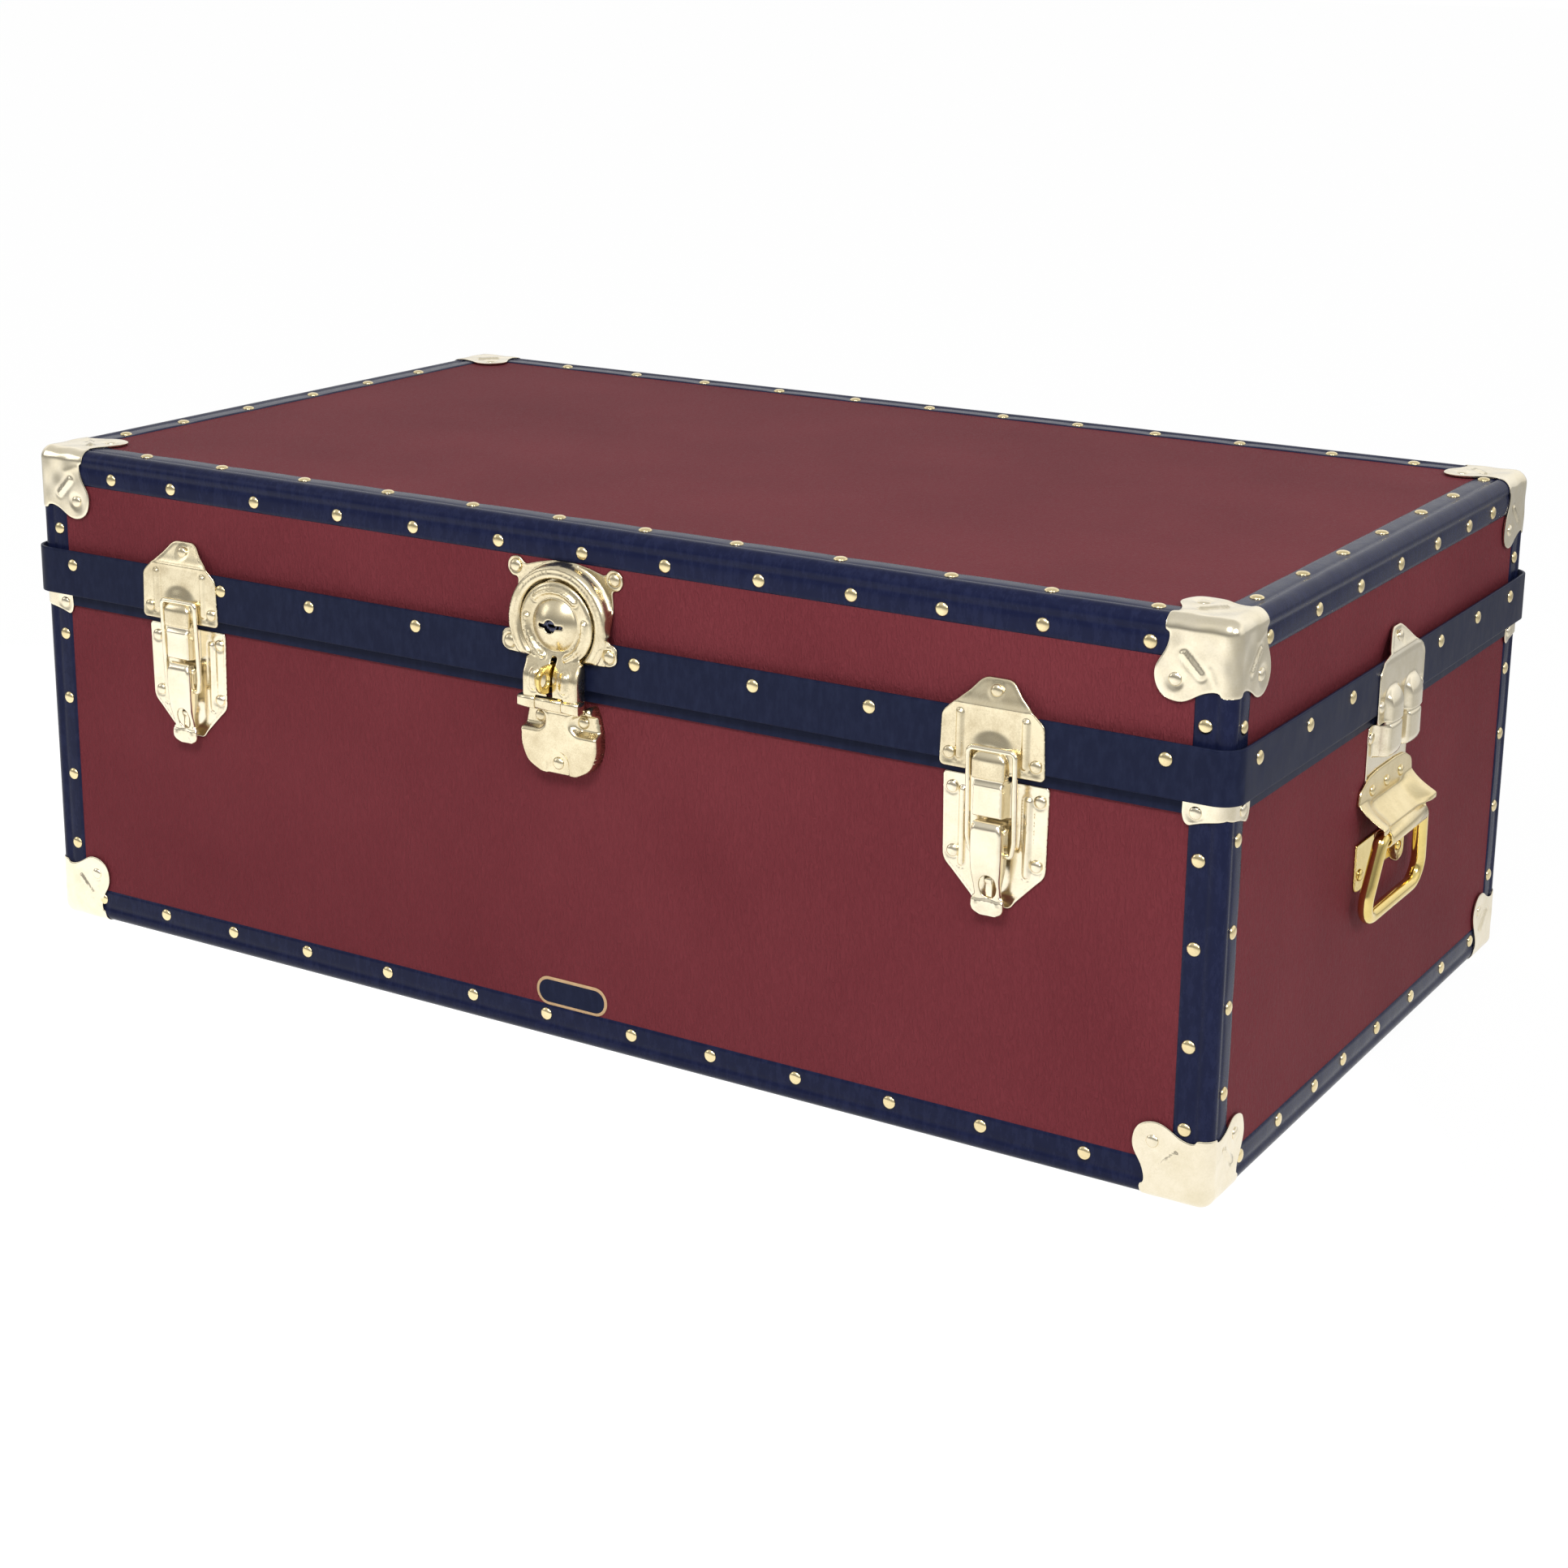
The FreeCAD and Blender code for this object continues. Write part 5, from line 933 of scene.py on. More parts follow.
RIB_SPREAD, RIB_WIDE, RIB_RISE = 21.4, 2.4, 1.6
KEEPER_RIBS, PLATE_RIBS = (249.0, 279.5), (181.0, 230.6)
KEEPER_STUD, KEEPER_TOP_STUD = (28.2, 252.0), 292.4
PLATE_STUDS = ((28.6, 229.2), (27.4, 189.6))
PIN_UP, PIN_OUT, ROLL = 209.5, 6.6, 6.0   # the lever's pin, and the roll of its upper edge round it
LATCHES = (("left", -320.0, 0.8), ("right", 312.0, 1.3))


def rib_guides(low, high, half):
    return [(stadium(side * RIB_SPREAD, low, high, half), (-1.4, -0.6, 0.2, 1.0), True) for side in SIDES]


def latch_keeper(build, across):
    outline = both(KEEPER_HALF)
    rim = even(outline, 1.5)

    def height(spots):
        u, z = spots[:, 0], spots[:, 1]
        lean = np.clip((z - FOLD_UP) / LEAN_RUN, 0, 1)
        level = ON_BAND - 6.9 * lean - ridge(z, 286.5, 2.4, 0.25) + ridge(z, 283.6, 0.8, 0.35)
        level = level + panel_edge(spots, rim, 0.3)
        for side in SIDES:
            level = level + rib(spots, side * RIB_SPREAD, *KEEPER_RIBS, RIB_WIDE, RIB_RISE)
            level = level + dimple(spots, side * KEEPER_STUD[0], KEEPER_STUD[1])
        level = level + dimple(spots, 0, KEEPER_TOP_STUD, 0.35, 4.3, 6.0)
        # The dome over the dowel and the swell above it
        swell = np.hypot(u / 16.5, np.maximum(z - 254.5, 0) / 15.0)
        level = level + 2.0 * (1 - smooth_step(swell, 0.35, 1.05)) * smooth_step(z, 246, 250)
        gap = distance(spots, DOME)
        roof = 12.45 - 0.03 * (u / 2) ** 2 - 3.6 * np.clip((z - 251.0) / 7.5, 0, 1) ** 2
        roof = roof - 0.7 * smooth_step(241.9 - z, 0, 1.1)
        over = level + (roof - level) * (1 - smooth_step(gap, -1.3, 0.5))
        return np.where(gap < 1.2, np.maximum(level, over), level)

    def back(spots):
        under = height(spots) - SKIN
        return np.where(distance(spots, DOME) < 0, under, np.maximum(under, -1.2))

    pressed(build, outline, height, on_front(across), 1.0,
            [(DOME, (-1.5, -0.9, -0.3, 0.3, 0.9), True)] + rib_guides(*KEEPER_RIBS, 2.3)
            + [(np.array([(-19, 283.6), (19, 283.6)]), (-1.6, -0.7, 0, 0.7, 1.6), False)], back=back)
    for side in SIDES:
        stud_head(build, on_front(across), side * KEEPER_STUD[0], KEEPER_STUD[1], 6.2, 3.9)
    stud_head(build, on_front(across), 0, KEEPER_TOP_STUD, 2.2, 4.0, 2.1)


def latch_plate(build, across):
    outline = both(LATCH_HALF)
    rim = even(outline, 1.5)

    def height(spots):
        u, z = spots[:, 0], spots[:, 1]
        level = ON_CLOTH + panel_edge(spots, rim, 0.3)
        for side in SIDES:
            level = level + rib(spots, side * RIB_SPREAD, *PLATE_RIBS, RIB_WIDE, RIB_RISE)
            for stud, up in PLATE_STUDS:
                level = level + dimple(spots, side * stud, up)
        gap = distance(spots, DOWEL)
        front = 11.5 - 0.012 * (u / 2) ** 2 - 0.9 * smooth_step(z, 237.6, 239.2) + ridge(z, 236.3, 0.9, 0.75)
        foot = np.clip((z - 215.6) / 2.5, 0, 1)
        return level + (front - level) * (1 - smooth_step(gap, -1.2, 0.6)) * foot

    pressed(build, outline, height, on_front(across), 1.0,
            [(DOWEL, (-1.3, -0.7, -0.1, 0.5), True)] + rib_guides(*PLATE_RIBS, 2.35)
            + rows(9, (217, 218, 219, 220, 221.4, 235.2, 236.3, 237.4, 239.2)), back=tab_back)
    lug = rounded([(0.2, 201.0, 0), (4.0, 203.6, 2.0), (10.2, 205.9, 3.4), (10.2, 213.1, 3.4),
                   (3.0, 213.1, 3.4), (3.0, 207.6, 0.8), (0.2, 205.6, 0)])
    for side in SIDES:
        for stud, up in PLATE_STUDS:
            stud_head(build, on_front(across), side * stud, up, -0.25, 3.9)
        # Lugs that carry the pin, inside the lever
        pressed(build, lug, flat(0.6), on_edge(across + side * 7.3, side), 1.3, skin=1.1, lip=0.2)


def tab_back(spots):
    """The back of a plate whose tabs stand up in the keeper's domes."""
    return np.where(spots[:, 1] > 238.9, 6.2, -1.35)


def turned(build, profile, to_space, sides=24):
    """A (radius, along) outline turned about a line."""
    points = []
    for radius, along in profile:
        for k in range(sides):
            turn = 2 * math.pi * k / sides
            points.append(to_space(along, radius * math.cos(turn), radius * math.sin(turn)))
    faces = grid_faces(len(profile), sides, wrap=True)
    faces += [tuple(range(sides))[::-1], tuple((len(profile) - 1) * sides + k for k in range(sides))]
    build.add(points, faces)


def latch_pins(build):
    """The pins with their two upset heads."""
    ends = [(0.05, 11.6), (1.0, 11.5), (1.9, 11.1), (2.25, 10.5), (2.25, 10.1), (1.5, 9.95)]
    profile = [(radius, -along) for radius, along in ends] + ends[::-1]
    for _, across, _ in LATCHES:
        turned(build, profile,
               lambda along, a, b: (MIDDLE[0] + across + along, LOW[1] - PIN_OUT - a, PIN_UP + b), 16)


LEVER_HALF = [(0, 155.1, 0), (5.2, 155.1, 4.6), (11.0, 158.8, 5.2), (10.6, 166.4, 1.6), (8.8, 168.6, 2.2),
              (8.7, 175.0, 6), (9.9, 184.5, 12), (10.4, 195.0, 20), (10.4, 208.5, 5), (9.2, 212.0, 3),
              (8.8, 214.9, 1.2), (0, 214.9, 0)]
LEVER_UP = [155.1, 158, 162, 165.4, 166.4, 167.4, 170, 173, 177, 182, 189, 198, 206, 209.5]
LEVER_OUT = [5.9, 6.9, 7.6, 7.9, 7.1, 7.8, 8.5, 9.4, 10.5, 11.6, 12.3, 12.6, 12.6, 12.55]
CHEEK_UP = [155, 166, 170, 174, 180, 187, 195, 206, 210, 214, 216]
CHEEK_DEEP = [1.2, 1.2, 2.2, 4.0, 6.6, 8.6, 9.6, 9.6, 8.6, 4.0, 2.4]
CHEEK_LOW, CHEEK_HIGH, CHEEK_WIDE = 166.0, 213.2, 1.15


def lever(build, across):
    outline = both(LEVER_HALF)
    edge_line = even(outline, 1.0)
    turns = 2 * np.pi * np.arange(40) / 40
    hole = np.column_stack([0.9 + 5.8 * np.cos(turns) + 0.8 * np.sin(turns),
                            174.6 + 7.6 * np.sin(turns) - 0.6 * np.cos(turns)])

    def front(z):
        level = np.interp(z, LEVER_UP, LEVER_OUT)
        roll = np.sqrt(np.maximum(ROLL ** 2 - np.clip(z - PIN_UP, 0, 5.6) ** 2, 0)) + PIN_OUT
        return np.where(z > PIN_UP, roll, level)

    def height(spots):
        u, z = spots[:, 0], spots[:, 1]
        level = front(z)
        inside = np.maximum(-distance(spots, edge_line), 0)
        turn = np.where(z > 168, 2.4, 1.0)
        bend = np.clip(1 - inside / turn, 0, 1)
        level = level - turn * (1 - np.sqrt(1 - bend ** 2)) * (z < 213.5)
        lobe = np.exp(-(((np.abs(u) - 7.0) / 3.4) ** 2) - ((z - 160.8) / 3.6) ** 2)
        level = level + 1.1 * lobe - 0.7 * np.exp(-((u / 3.6) ** 2) - ((z - 160.0) / 5.0) ** 2)
        return level - ridge(distance(spots, hole), 0, 1.4, 0.8)

    def back(spots):
        u, z = np.abs(spots[:, 0]), spots[:, 1]
        cheek = (-distance(spots, edge_line) < CHEEK_WIDE) & (u > 6) & (z > CHEEK_LOW) & (z < CHEEK_HIGH)
        return np.where(cheek, front(z) - np.interp(z, CHEEK_UP, CHEEK_DEEP), height(spots) - 1.2)

    pressed(build, outline, height, on_front(across), 0.95,
            [(edge_line, (-1.2, -1.8, -2.4), True),
             (np.array([(-8.4, 166.4), (8.4, 166.4)]), (-0.8, 0, 0.8), False)]
            + rows(7.6, (209.5, 210.6, 211.7, 212.7, 213.6, 214.3)), [hole], back=back)
    # The spring leaf that shows through the pull hole
    pressed(build, oblong(2.3, 164.0, 184.0, 0.5, 0.5, -0.1),
            lambda spots: 5.0 + ridge(spots[:, 1], 178.0, 2.6, 1.6), on_front(across), 1.0, skin=0.6, lip=0.15)


def wire_loop(build, across):
    low, eye, crook, top = PIN_OUT, 195.0, 204.0, 258.5
    half = [(15.2, 8.95, top), (15.2, 8.9, 252), (15.2, low + 0.6, crook), (13.4, low, eye), (8.6, low, eye)]
    corners = half[::-1] + [(-u, out, z) for u, out, z in half]
    bends = [2.4, 14, 30, 5.4]
    tube(build, bent_path([(MIDDLE[0] + across + u, LOW[1] - out, z) for u, out, z in corners],
                          bends + bends[::-1]), 1.72, 16)


for side, across, bar in LATCHES:
    made(latch_keeper, across).piece("keeper_" + side, "lid", "worn_brass", "latch_keeper_" + side)
    made(latch_plate, across).piece("latch_" + side, "base", "pale_brass", "latch_plate_" + side)
    for maker, kind, place_now in ((lever, "lever_", across), (wire_loop, "loop_", across + bar)):
        node = "latch_" + kind + side
        made(maker, place_now).piece(kind + side, node, "pale_brass", node)
made(latch_pins).piece("latch_pins_front", "base", "pale_brass", "latch_pins")

# Lock: eared plate with an arched bead on the lid, hasp with a domed disc, staple, and a pan on the base
LOCK_X, LOCK_UP = 4.0, 289.0
LOCK_HALF = [(0, 265.8, 0), (31.0, 265.8, 1.0), (39.2, 266.2, 5.8), (44.6, 268.6, 6.6), (44.4, 279.2, 6.6),
             (38.6, 281.2, 2.5), (37.6, 284.0, 1.0), (38.6, 286.0, 1.0), (38.2, 290.0, 2.0), (36.4, 313.4, 2.0),
             (41.6, 314.0, 4.5), (44.8, 318.5, 5.8), (43.6, 325.8, 5.8), (35.6, 327.6, 5.4), (30.6, 322.4, 3.0),
             (20.0, 325.4, 12.0), (9.0, 327.6, 16.0), (0, 327.8, 0)]
EARS = [(side * across, up, out) for across, up, out in ((38.0, 320.8, -0.2), (38.4, 272.7, 6.6))
        for side in SIDES]
HEAD_WIDE, HEAD_DOME, DOME_ROUND = 27.6, 17.0, 24.5
ARCS = ((22.0, 47, 133), (22.4, 172, 246), (22.4, -66, 8))   # beads of the hasp: radius, first and last degree
OVALS = (246.6, 260.8, 3.0)                                  # low, high and half width of the tongue's ovals
OVAL_SPREAD = 11.8
TONGUE, KNUCKLE = 21.6, 10.6
SLOT_X, SLOT_HALF, SLOT_TOP = 0.4, 2.3, 266.7
HINGE_OUT, HINGE_UP = 16.0, 238.4


def arc_line(radius, first, last, count):
    """Places along an arc about the lock's middle, between two angles in degrees."""
    angles = np.radians(np.linspace(first, last, count))
    return np.column_stack([radius * np.cos(angles), LOCK_UP + radius * np.sin(angles)])


def arc_bead(spots, radius, first, last, half, rise):
    gap = distance(spots, arc_line(radius, first, last, 24), False) - half
    return bead_rise(gap, rise, -1.3)


def lock_plate(build):
    outline = both(LOCK_HALF)
    rim = even(outline, 1.2)

    def level_at(z):
        return 6.9 - 7.0 * smooth_step(z, 283.5, 304.0)

    def height(spots):
        u, z = spots[:, 0], spots[:, 1]
        level = level_at(z)
        away = np.hypot(u, z - LOCK_UP)
        # The bead stands at one level all round and falls to the plate outside
        crest = 10.9 - 0.9 * ((away - 33.2) / 4.2) ** 2 - ridge(away, 33.6, 0.8, 0.5)
        outer = 1 - smooth_step(away, 36.8, 38.6)
        inner = smooth_step(away, 28.9, 29.9)
        bead = outer * inner * smooth_step(z, 264.0, 268.5)
        level = level + (crest - level) * np.clip(bead, 0, 1)
        level = np.where(away < 29.2, np.minimum(level, 7.0), level)
        for across, up, _ in EARS:
            level = level - dimple(spots, across, up, 0.5, 5.4, 7.0) + dimple(spots, across, up, 0.7, 3.8, 5.6)
        return level + panel_edge(spots, rim, 0.25, 1.0)

    pressed(build, outline, height, on_front(LOCK_X), 1.0,
            [(circle(0, LOCK_UP, radius, 120), (0,), True)
             for radius in (28.9, 29.9, 31.2, 33.6, 35.4, 36.8, 37.7, 38.6)],
            back=lambda spots: np.minimum(level_at(spots[:, 1]), height(spots)) - 1.2)
    for across, up, out in EARS:
        stud_head(build, on_front(LOCK_X), across, up, out, 4.4, 2.4)


def key_hole():
    """A round hole for the key's stem with a slot to each side for its bits."""
    arc = [(4.35 * math.cos(a), 4.35 * math.sin(a)) for a in np.radians(np.linspace(17, 163, 14))]
    half = arc + [(-9.0, 1.3), (-9.4, 0.0)]
    return np.array([(u, LOCK_UP + z) for u, z in half] + [(-9.0, LOCK_UP - 1.3)]
                    + [(-u, LOCK_UP - z) for u, z in half[:-2]] + [(9.0, LOCK_UP - 1.3), (9.4, LOCK_UP),
                                                                   (9.0, LOCK_UP + 1.3)])


def hasp_piece(build):
    head_arc = [(HEAD_WIDE * math.cos(a), LOCK_UP + HEAD_WIDE * math.sin(a))
                for a in np.radians(np.linspace(-48, 228, 80))]
    # The tongue straddles the middle knuckle, and its slot opens onto it
    slot = [(SLOT_X - SLOT_HALF * math.cos(a), SLOT_TOP + SLOT_HALF * math.sin(a))
            for a in np.radians(np.linspace(0, 180, 17))]
    outline = np.array(
        head_arc + [(-20.8, 266.0), (-20.6, 262.0), (-20.6, 238.6), (-KNUCKLE, 238.6), (-KNUCKLE, 243.3),
                    (-1.9, 243.3)]
        + slot + [(2.7, 243.3), (KNUCKLE, 243.3), (KNUCKLE, 238.6), (18.6, 238.6), (18.6, 233.6),
                  (TONGUE, 233.6), (TONGUE, 262.0), (21.4, 266.0)])

    def height(spots):
        u, z = spots[:, 0], spots[:, 1]
        level = 10.8 + 7.6 * smooth_step(-z, -274.0, -254.0)
        away = np.hypot(u, z - LOCK_UP)
        dome = np.sqrt(np.maximum(DOME_ROUND ** 2 - np.minimum(away, HEAD_DOME) ** 2, 0))
        dome = dome - math.sqrt(DOME_ROUND ** 2 - HEAD_DOME ** 2)
        level = level + dome * (away < HEAD_DOME) - ridge(away, HEAD_DOME + 0.6, 0.8, 0.35)
        level = level + smooth_step(z, 258.0, 266.0) * sum(arc_bead(spots, *arc, 2.0, 2.5) for arc in ARCS)
        level = level - 0.9 * smooth_step(away, HEAD_WIDE - 2.0, HEAD_WIDE) * (z > 266)
        for side in SIDES:
            level = level + rib(spots, side * OVAL_SPREAD, *OVALS, 2.1)
        edge = np.clip((np.abs(u) - (TONGUE - 2.6)) / 2.6, 0, 1) * (1 - smooth_step(z, 262, 270))
        return level - 2.6 * (1 - np.sqrt(1 - edge ** 2))

    def back(spots):
        u, z = spots[:, 0], spots[:, 1]
        wall = (np.abs(u) > TONGUE - 1.4) & (z < 266)
        deep = np.interp(z, [233, 236.8, 238.4, 244, 258, 266], [13.2, 12.6, 9.7, 9.5, 9.2, 9.4])
        return np.where(wall, deep, height(spots) - SKIN)

    guides = [(np.array([(side * (TONGUE - inset), 240), (side * (TONGUE - inset), 264)]), (0,), False)
              for side in SIDES for inset in (1.4, 2.6, 2.0, 0.8)]
    guides += [(arc_line(radius + gap, first, last, 30), (0,), False)
               for radius, first, last in ARCS for gap in (-2.6, -1.4, 0, 1.4, 2.6)]
    guides += [(circle(0, LOCK_UP, HEAD_DOME, 90), (-0.5, 0, 0.5, 1.1), True)]
    guides += [(stadium(side * OVAL_SPREAD, *OVALS), (-1.6, -0.6, 0.3), True) for side in SIDES]
    pressed(build, outline, height, on_front(LOCK_X), 1.0, guides, [key_hole()], back=back)
    for low, high in ((-23.6, -10.4), (10.4, 23.6)):
        barrel(build, low, high, 4.1)


def barrel(build, low, high, radius):
    """One knuckle: a rounded square roll across, with eased ends."""
    corners = oblong(radius, HINGE_UP - radius, HINGE_UP + radius, 2.2, 2.2, HINGE_OUT)
    middle = corners.mean(0)
    stations = [(low, 0.02), (low, 0.93), (low + 0.25, 1.0), (high - 0.25, 1.0), (high, 0.93), (high, 0.02)]
    points = [(MIDDLE[0] + LOCK_X + across, LOW[1] - out, up)
              for across, share in stations for out, up in middle + (corners - middle) * share]
    build.add(points, grid_faces(len(stations), len(corners), wrap=True))


def plug_piece(build):
    """The turning plug, seen through the keyhole, with a slot and the bolt behind."""
    fold = on_front(LOCK_X)
    pressed(build, circle(0, LOCK_UP, 4.2, 40), flat(14.6), fold, 0.8, [],
            [oblong(2.9, 288.1, 289.9, 0.6, 0.6)], back=flat(8.2))
    pressed(build, oblong(2.1, 280.6, 290.0, 2.0, 0), flat(8.4), fold, 1.0, skin=1.3, lip=0.2)


def lock_shade(build):
    """A dark disc of painted shade inside the dome, behind the keyhole."""
    pressed(build, circle(0, LOCK_UP, 10.5, 40), flat(13.2), on_front(LOCK_X), 1.6, [],
            [circle(0, LOCK_UP, 4.4, 30)], lip=0.1)


def staple_piece(build):
    """The flat eye that stands out through the slot, on a foot behind the tongue."""
    profile = rounded([(8.0, 246.2, 0.5), (24.0, 246.2, 9.0), (30.2, 250.2, 7.5), (30.2, 261.0, 7.5),
                       (23.0, 264.6, 9.0), (8.0, 264.6, 0.5)])
    pressed(build, profile, flat(1.4), on_edge(LOCK_X), 0.9, [], [circle(23.3, 255.25, 4.3, 36)],
            back=flat(-1.4), lip=0.5)
    pressed(build, oblong(11.8, 247.0, 263.8, 2.0, 2.0), flat(8.3), on_front(LOCK_X), 1.4,
            back=flat(5.45), lip=0.4)


PAN_HALF = [(0, 189.2, 0), (13.5, 189.2, 10.0), (25.0, 195.0, 14.0), (29.6, 207.0, 16.0), (29.6, 218.5, 14.0),
            (27.4, 229.0, 8.0), (24.6, 236.6, 1.5), (20.9, 236.8, 1.0), (20.6, 232.2, 0.8), (0, 232.2, 0)]
POCKET = [(-40, 217.4, 1), (-14.6, 217.4, 7.6), (-9.0, 221.5, 5.5), (-8.8, 229.0, 6.5), (-14.6, 232.6, 5),
          (-40, 232.6, 1)]


def pan(build):
    outline = both(PAN_HALF)
    rim = even(outline, 1.2)
    pockets = [rounded([(side * u, z, radius) for u, z, radius in POCKET]) for side in (1, -1)]
    foot = stadium(0, 180.0, 205.2, 8.8)

    def height(spots):
        level = 9.4 - 1.6 * np.clip(1 + distance(spots, rim) / 2.2, 0, 1) ** 2
        deep = np.zeros(len(spots))
        for pocket in pockets:
            gap = distance(spots, pocket)
            share = 0.55 + 0.45 * smooth_step(np.abs(spots[:, 0]), 10, 18)
            deep = np.maximum(deep, (1 - smooth_step(gap, -3.0, 0.4)) * share)
            level = level + ridge(gap, 1.5, 1.1, 0.4)
        return level - 5.8 * deep - 1.1 * (1 - smooth_step(distance(spots, foot), -0.7, 0.4))

    pressed(build, outline, height, on_front(LOCK_X), 1.0,
            [(line, (-2.4, -1.6, -0.8, 0, 0.8, 1.6), True) for line in pockets + [foot]],
            back=flat(-1.35), lip=0.6)
    for u, z, out in ((-16.6, 225.6, 3.5), (16.6, 225.6, 3.5), (0, 197.2, 7.9)):
        stud_head(build, on_front(LOCK_X), u, z, out, 4.3, 2.6)
    barrel(build, -10.1, 10.1, 4.0)
    # The web from the pan's face up to its knuckle
    pressed(build, oblong(9.8, 229.0, 237.0, 0.5, 0.5),
            lambda spots: 9.2 + 5.6 * smooth_step(spots[:, 1], 230, 236.5), on_front(LOCK_X), 1.2, lip=0.1)


made(lock_plate).piece("lock_plate", "lid", "worn_brass", "lock_lid_plate")
made(hasp_piece).piece("hasp_front", "hasp", "worn_brass", "hasp")
made(plug_piece).piece("plug", "lock_plug", "blued_steel", "lock_plug")
# Painted shade: the dark disc behind the keyhole takes the plug's blued steel look
made(lock_shade).piece("lock_shade", "hasp", "blued_steel")
made(staple_piece).piece("staple", "lid", "deep_brass", "padlock_staple")
made(pan).piece("pan", "base", "worn_brass", "lock_base_plate")

# Ends: a guide with two domes over two dowels, and a drop handle under a flared plate
GUIDE_HALF = [(0, 241.0, 0), (40.6, 241.0, 3.0), (40.6, 273.0, 7.0), (34.5, 279.8, 8.0), (24.0, 283.6, 14.0),
              (11.5, 293.6, 14.0), (6.5, 296.6, 8.0), (0, 296.6, 0)]
GUIDE_BASE_HALF = [(0, 200.2, 0), (36.4, 200.2, 1.5), (36.4, 238.4, 3.0), (28.2, 238.4, 0.4),
                   (28.0, 247.2, 1.5), (7.0, 247.2, 1.5), (6.8, 238.4, 0.4), (0, 238.4, 0)]
GUIDE_PLACES = (-17.5, 17.5)
GUIDE_STUDS = ((0, 289.8, 3.1), (-35.2, 252.0, 6.1), (35.2, 252.0, 6.1))
GUIDE_BASE_STUD = (32.6, 230.0)


def guide_keeper(build, sign):
    outline = both(GUIDE_HALF)
    rim = even(outline, 1.5)
    domes = [oblong(12.4, 236.0, 263.5, 0, 8.5, place_now) for place_now in GUIDE_PLACES]

    def height(spots):
        u, z = spots[:, 0], spots[:, 1]
        lean = np.clip((z - FOLD_UP) / LEAN_RUN, 0, 1)
        level = ON_BAND - 6.9 * lean + ridge(z, 283.6, 0.9, 0.4) - ridge(z, 279.8, 1.2, 0.35)
        level = level + panel_edge(spots, rim, 0.35)
        for across, up, _ in GUIDE_STUDS:
            level = level + dimple(spots, across, up, 0.35, 4.0, 6.0)
        for place_now, dome in zip(GUIDE_PLACES, domes):
            roof = 12.35 - 0.011 * (u - place_now) ** 2 - 5.4 * np.clip((z - 250.5) / 12.5, 0, 1) ** 1.8
            level = level + np.maximum(roof - level, 0) * (1 - smooth_step(distance(spots, dome), -3.2, 0.5))
        return level

    def back(spots):
        under = height(spots) - SKIN
        in_dome = np.minimum(distance(spots, domes[0]), distance(spots, domes[1])) < -0.8
        return np.where(in_dome, under, np.maximum(under, -1.2))

    pressed(build, outline, height, on_end(sign), 1.05,
            [(dome, (-3.0, -2.2, -1.5, -0.8, 0, 0.7), True) for dome in domes]
            + rows(30, (279.0, 279.8, 280.8, 282.8, 283.6, 284.6)), back=back)
    for across, up, out in GUIDE_STUDS:
        stud_head(build, on_end(sign), across, up, out, 3.9, 2.0)


def guide_plate(build, sign):
    outline = both(GUIDE_BASE_HALF)
    rim = even(outline, 1.5)
    dowels = [rounded([(c - 12.4, 217.0, 1.5), (c + 12.4, 217.0, 1.5), (c + 11.0, 262, 0.5),
                       (c - 11.0, 262, 0.5)])
              for c in GUIDE_PLACES]

    def height(spots):
        u, z = spots[:, 0], spots[:, 1]
        level = -0.1 + panel_edge(spots, rim, 0.3)
        for side in SIDES:
            level = level + dimple(spots, side * GUIDE_BASE_STUD[0], GUIDE_BASE_STUD[1], 0.3, 3.6, 5.4)
        for place_now, shape in zip(GUIDE_PLACES, dowels):
            front = 11.8 - 0.008 * (u - place_now) ** 2 - 1.0 * smooth_step(z, 238.0, 239.6)
            front = front - 1.6 * smooth_step(-z, -223.0, -216.5)
            level = level + (front - level) * (1 - smooth_step(distance(spots, shape), -2.0, 0.5))
        return level

    pressed(build, outline, height, on_end(sign), 1.05,
            [(shape, (-1.9, -1.3, -0.7, 0, 0.5), True) for shape in dowels]
            + rows(30, (236.4, 238.0, 238.8, 239.6)), back=tab_back)
    for side in SIDES:
        stud_head(build, on_end(sign), side * GUIDE_BASE_STUD[0], GUIDE_BASE_STUD[1], -0.4, 3.7, 2.0)


HANDLE_OUT, HANDLE_UP = 12.6, 167.0
HANDLE_HALF = [(0, 166.0, 0), (33.0, 166.0, 0.3), (33.2, 173.6, 0.5), (48.0, 173.6, 1.4), (48.4, 177.5, 3),
               (48.0, 189.5, 6), (46.6, 198.4, 9), (33.0, 205.0, 20), (16, 206.4, 30), (0, 206.4, 0)]
BARREL_FACE, BARREL_INNER, BARREL_OUTER, BARREL_HALF = 6.2, 5.15, 6.65, 32.9


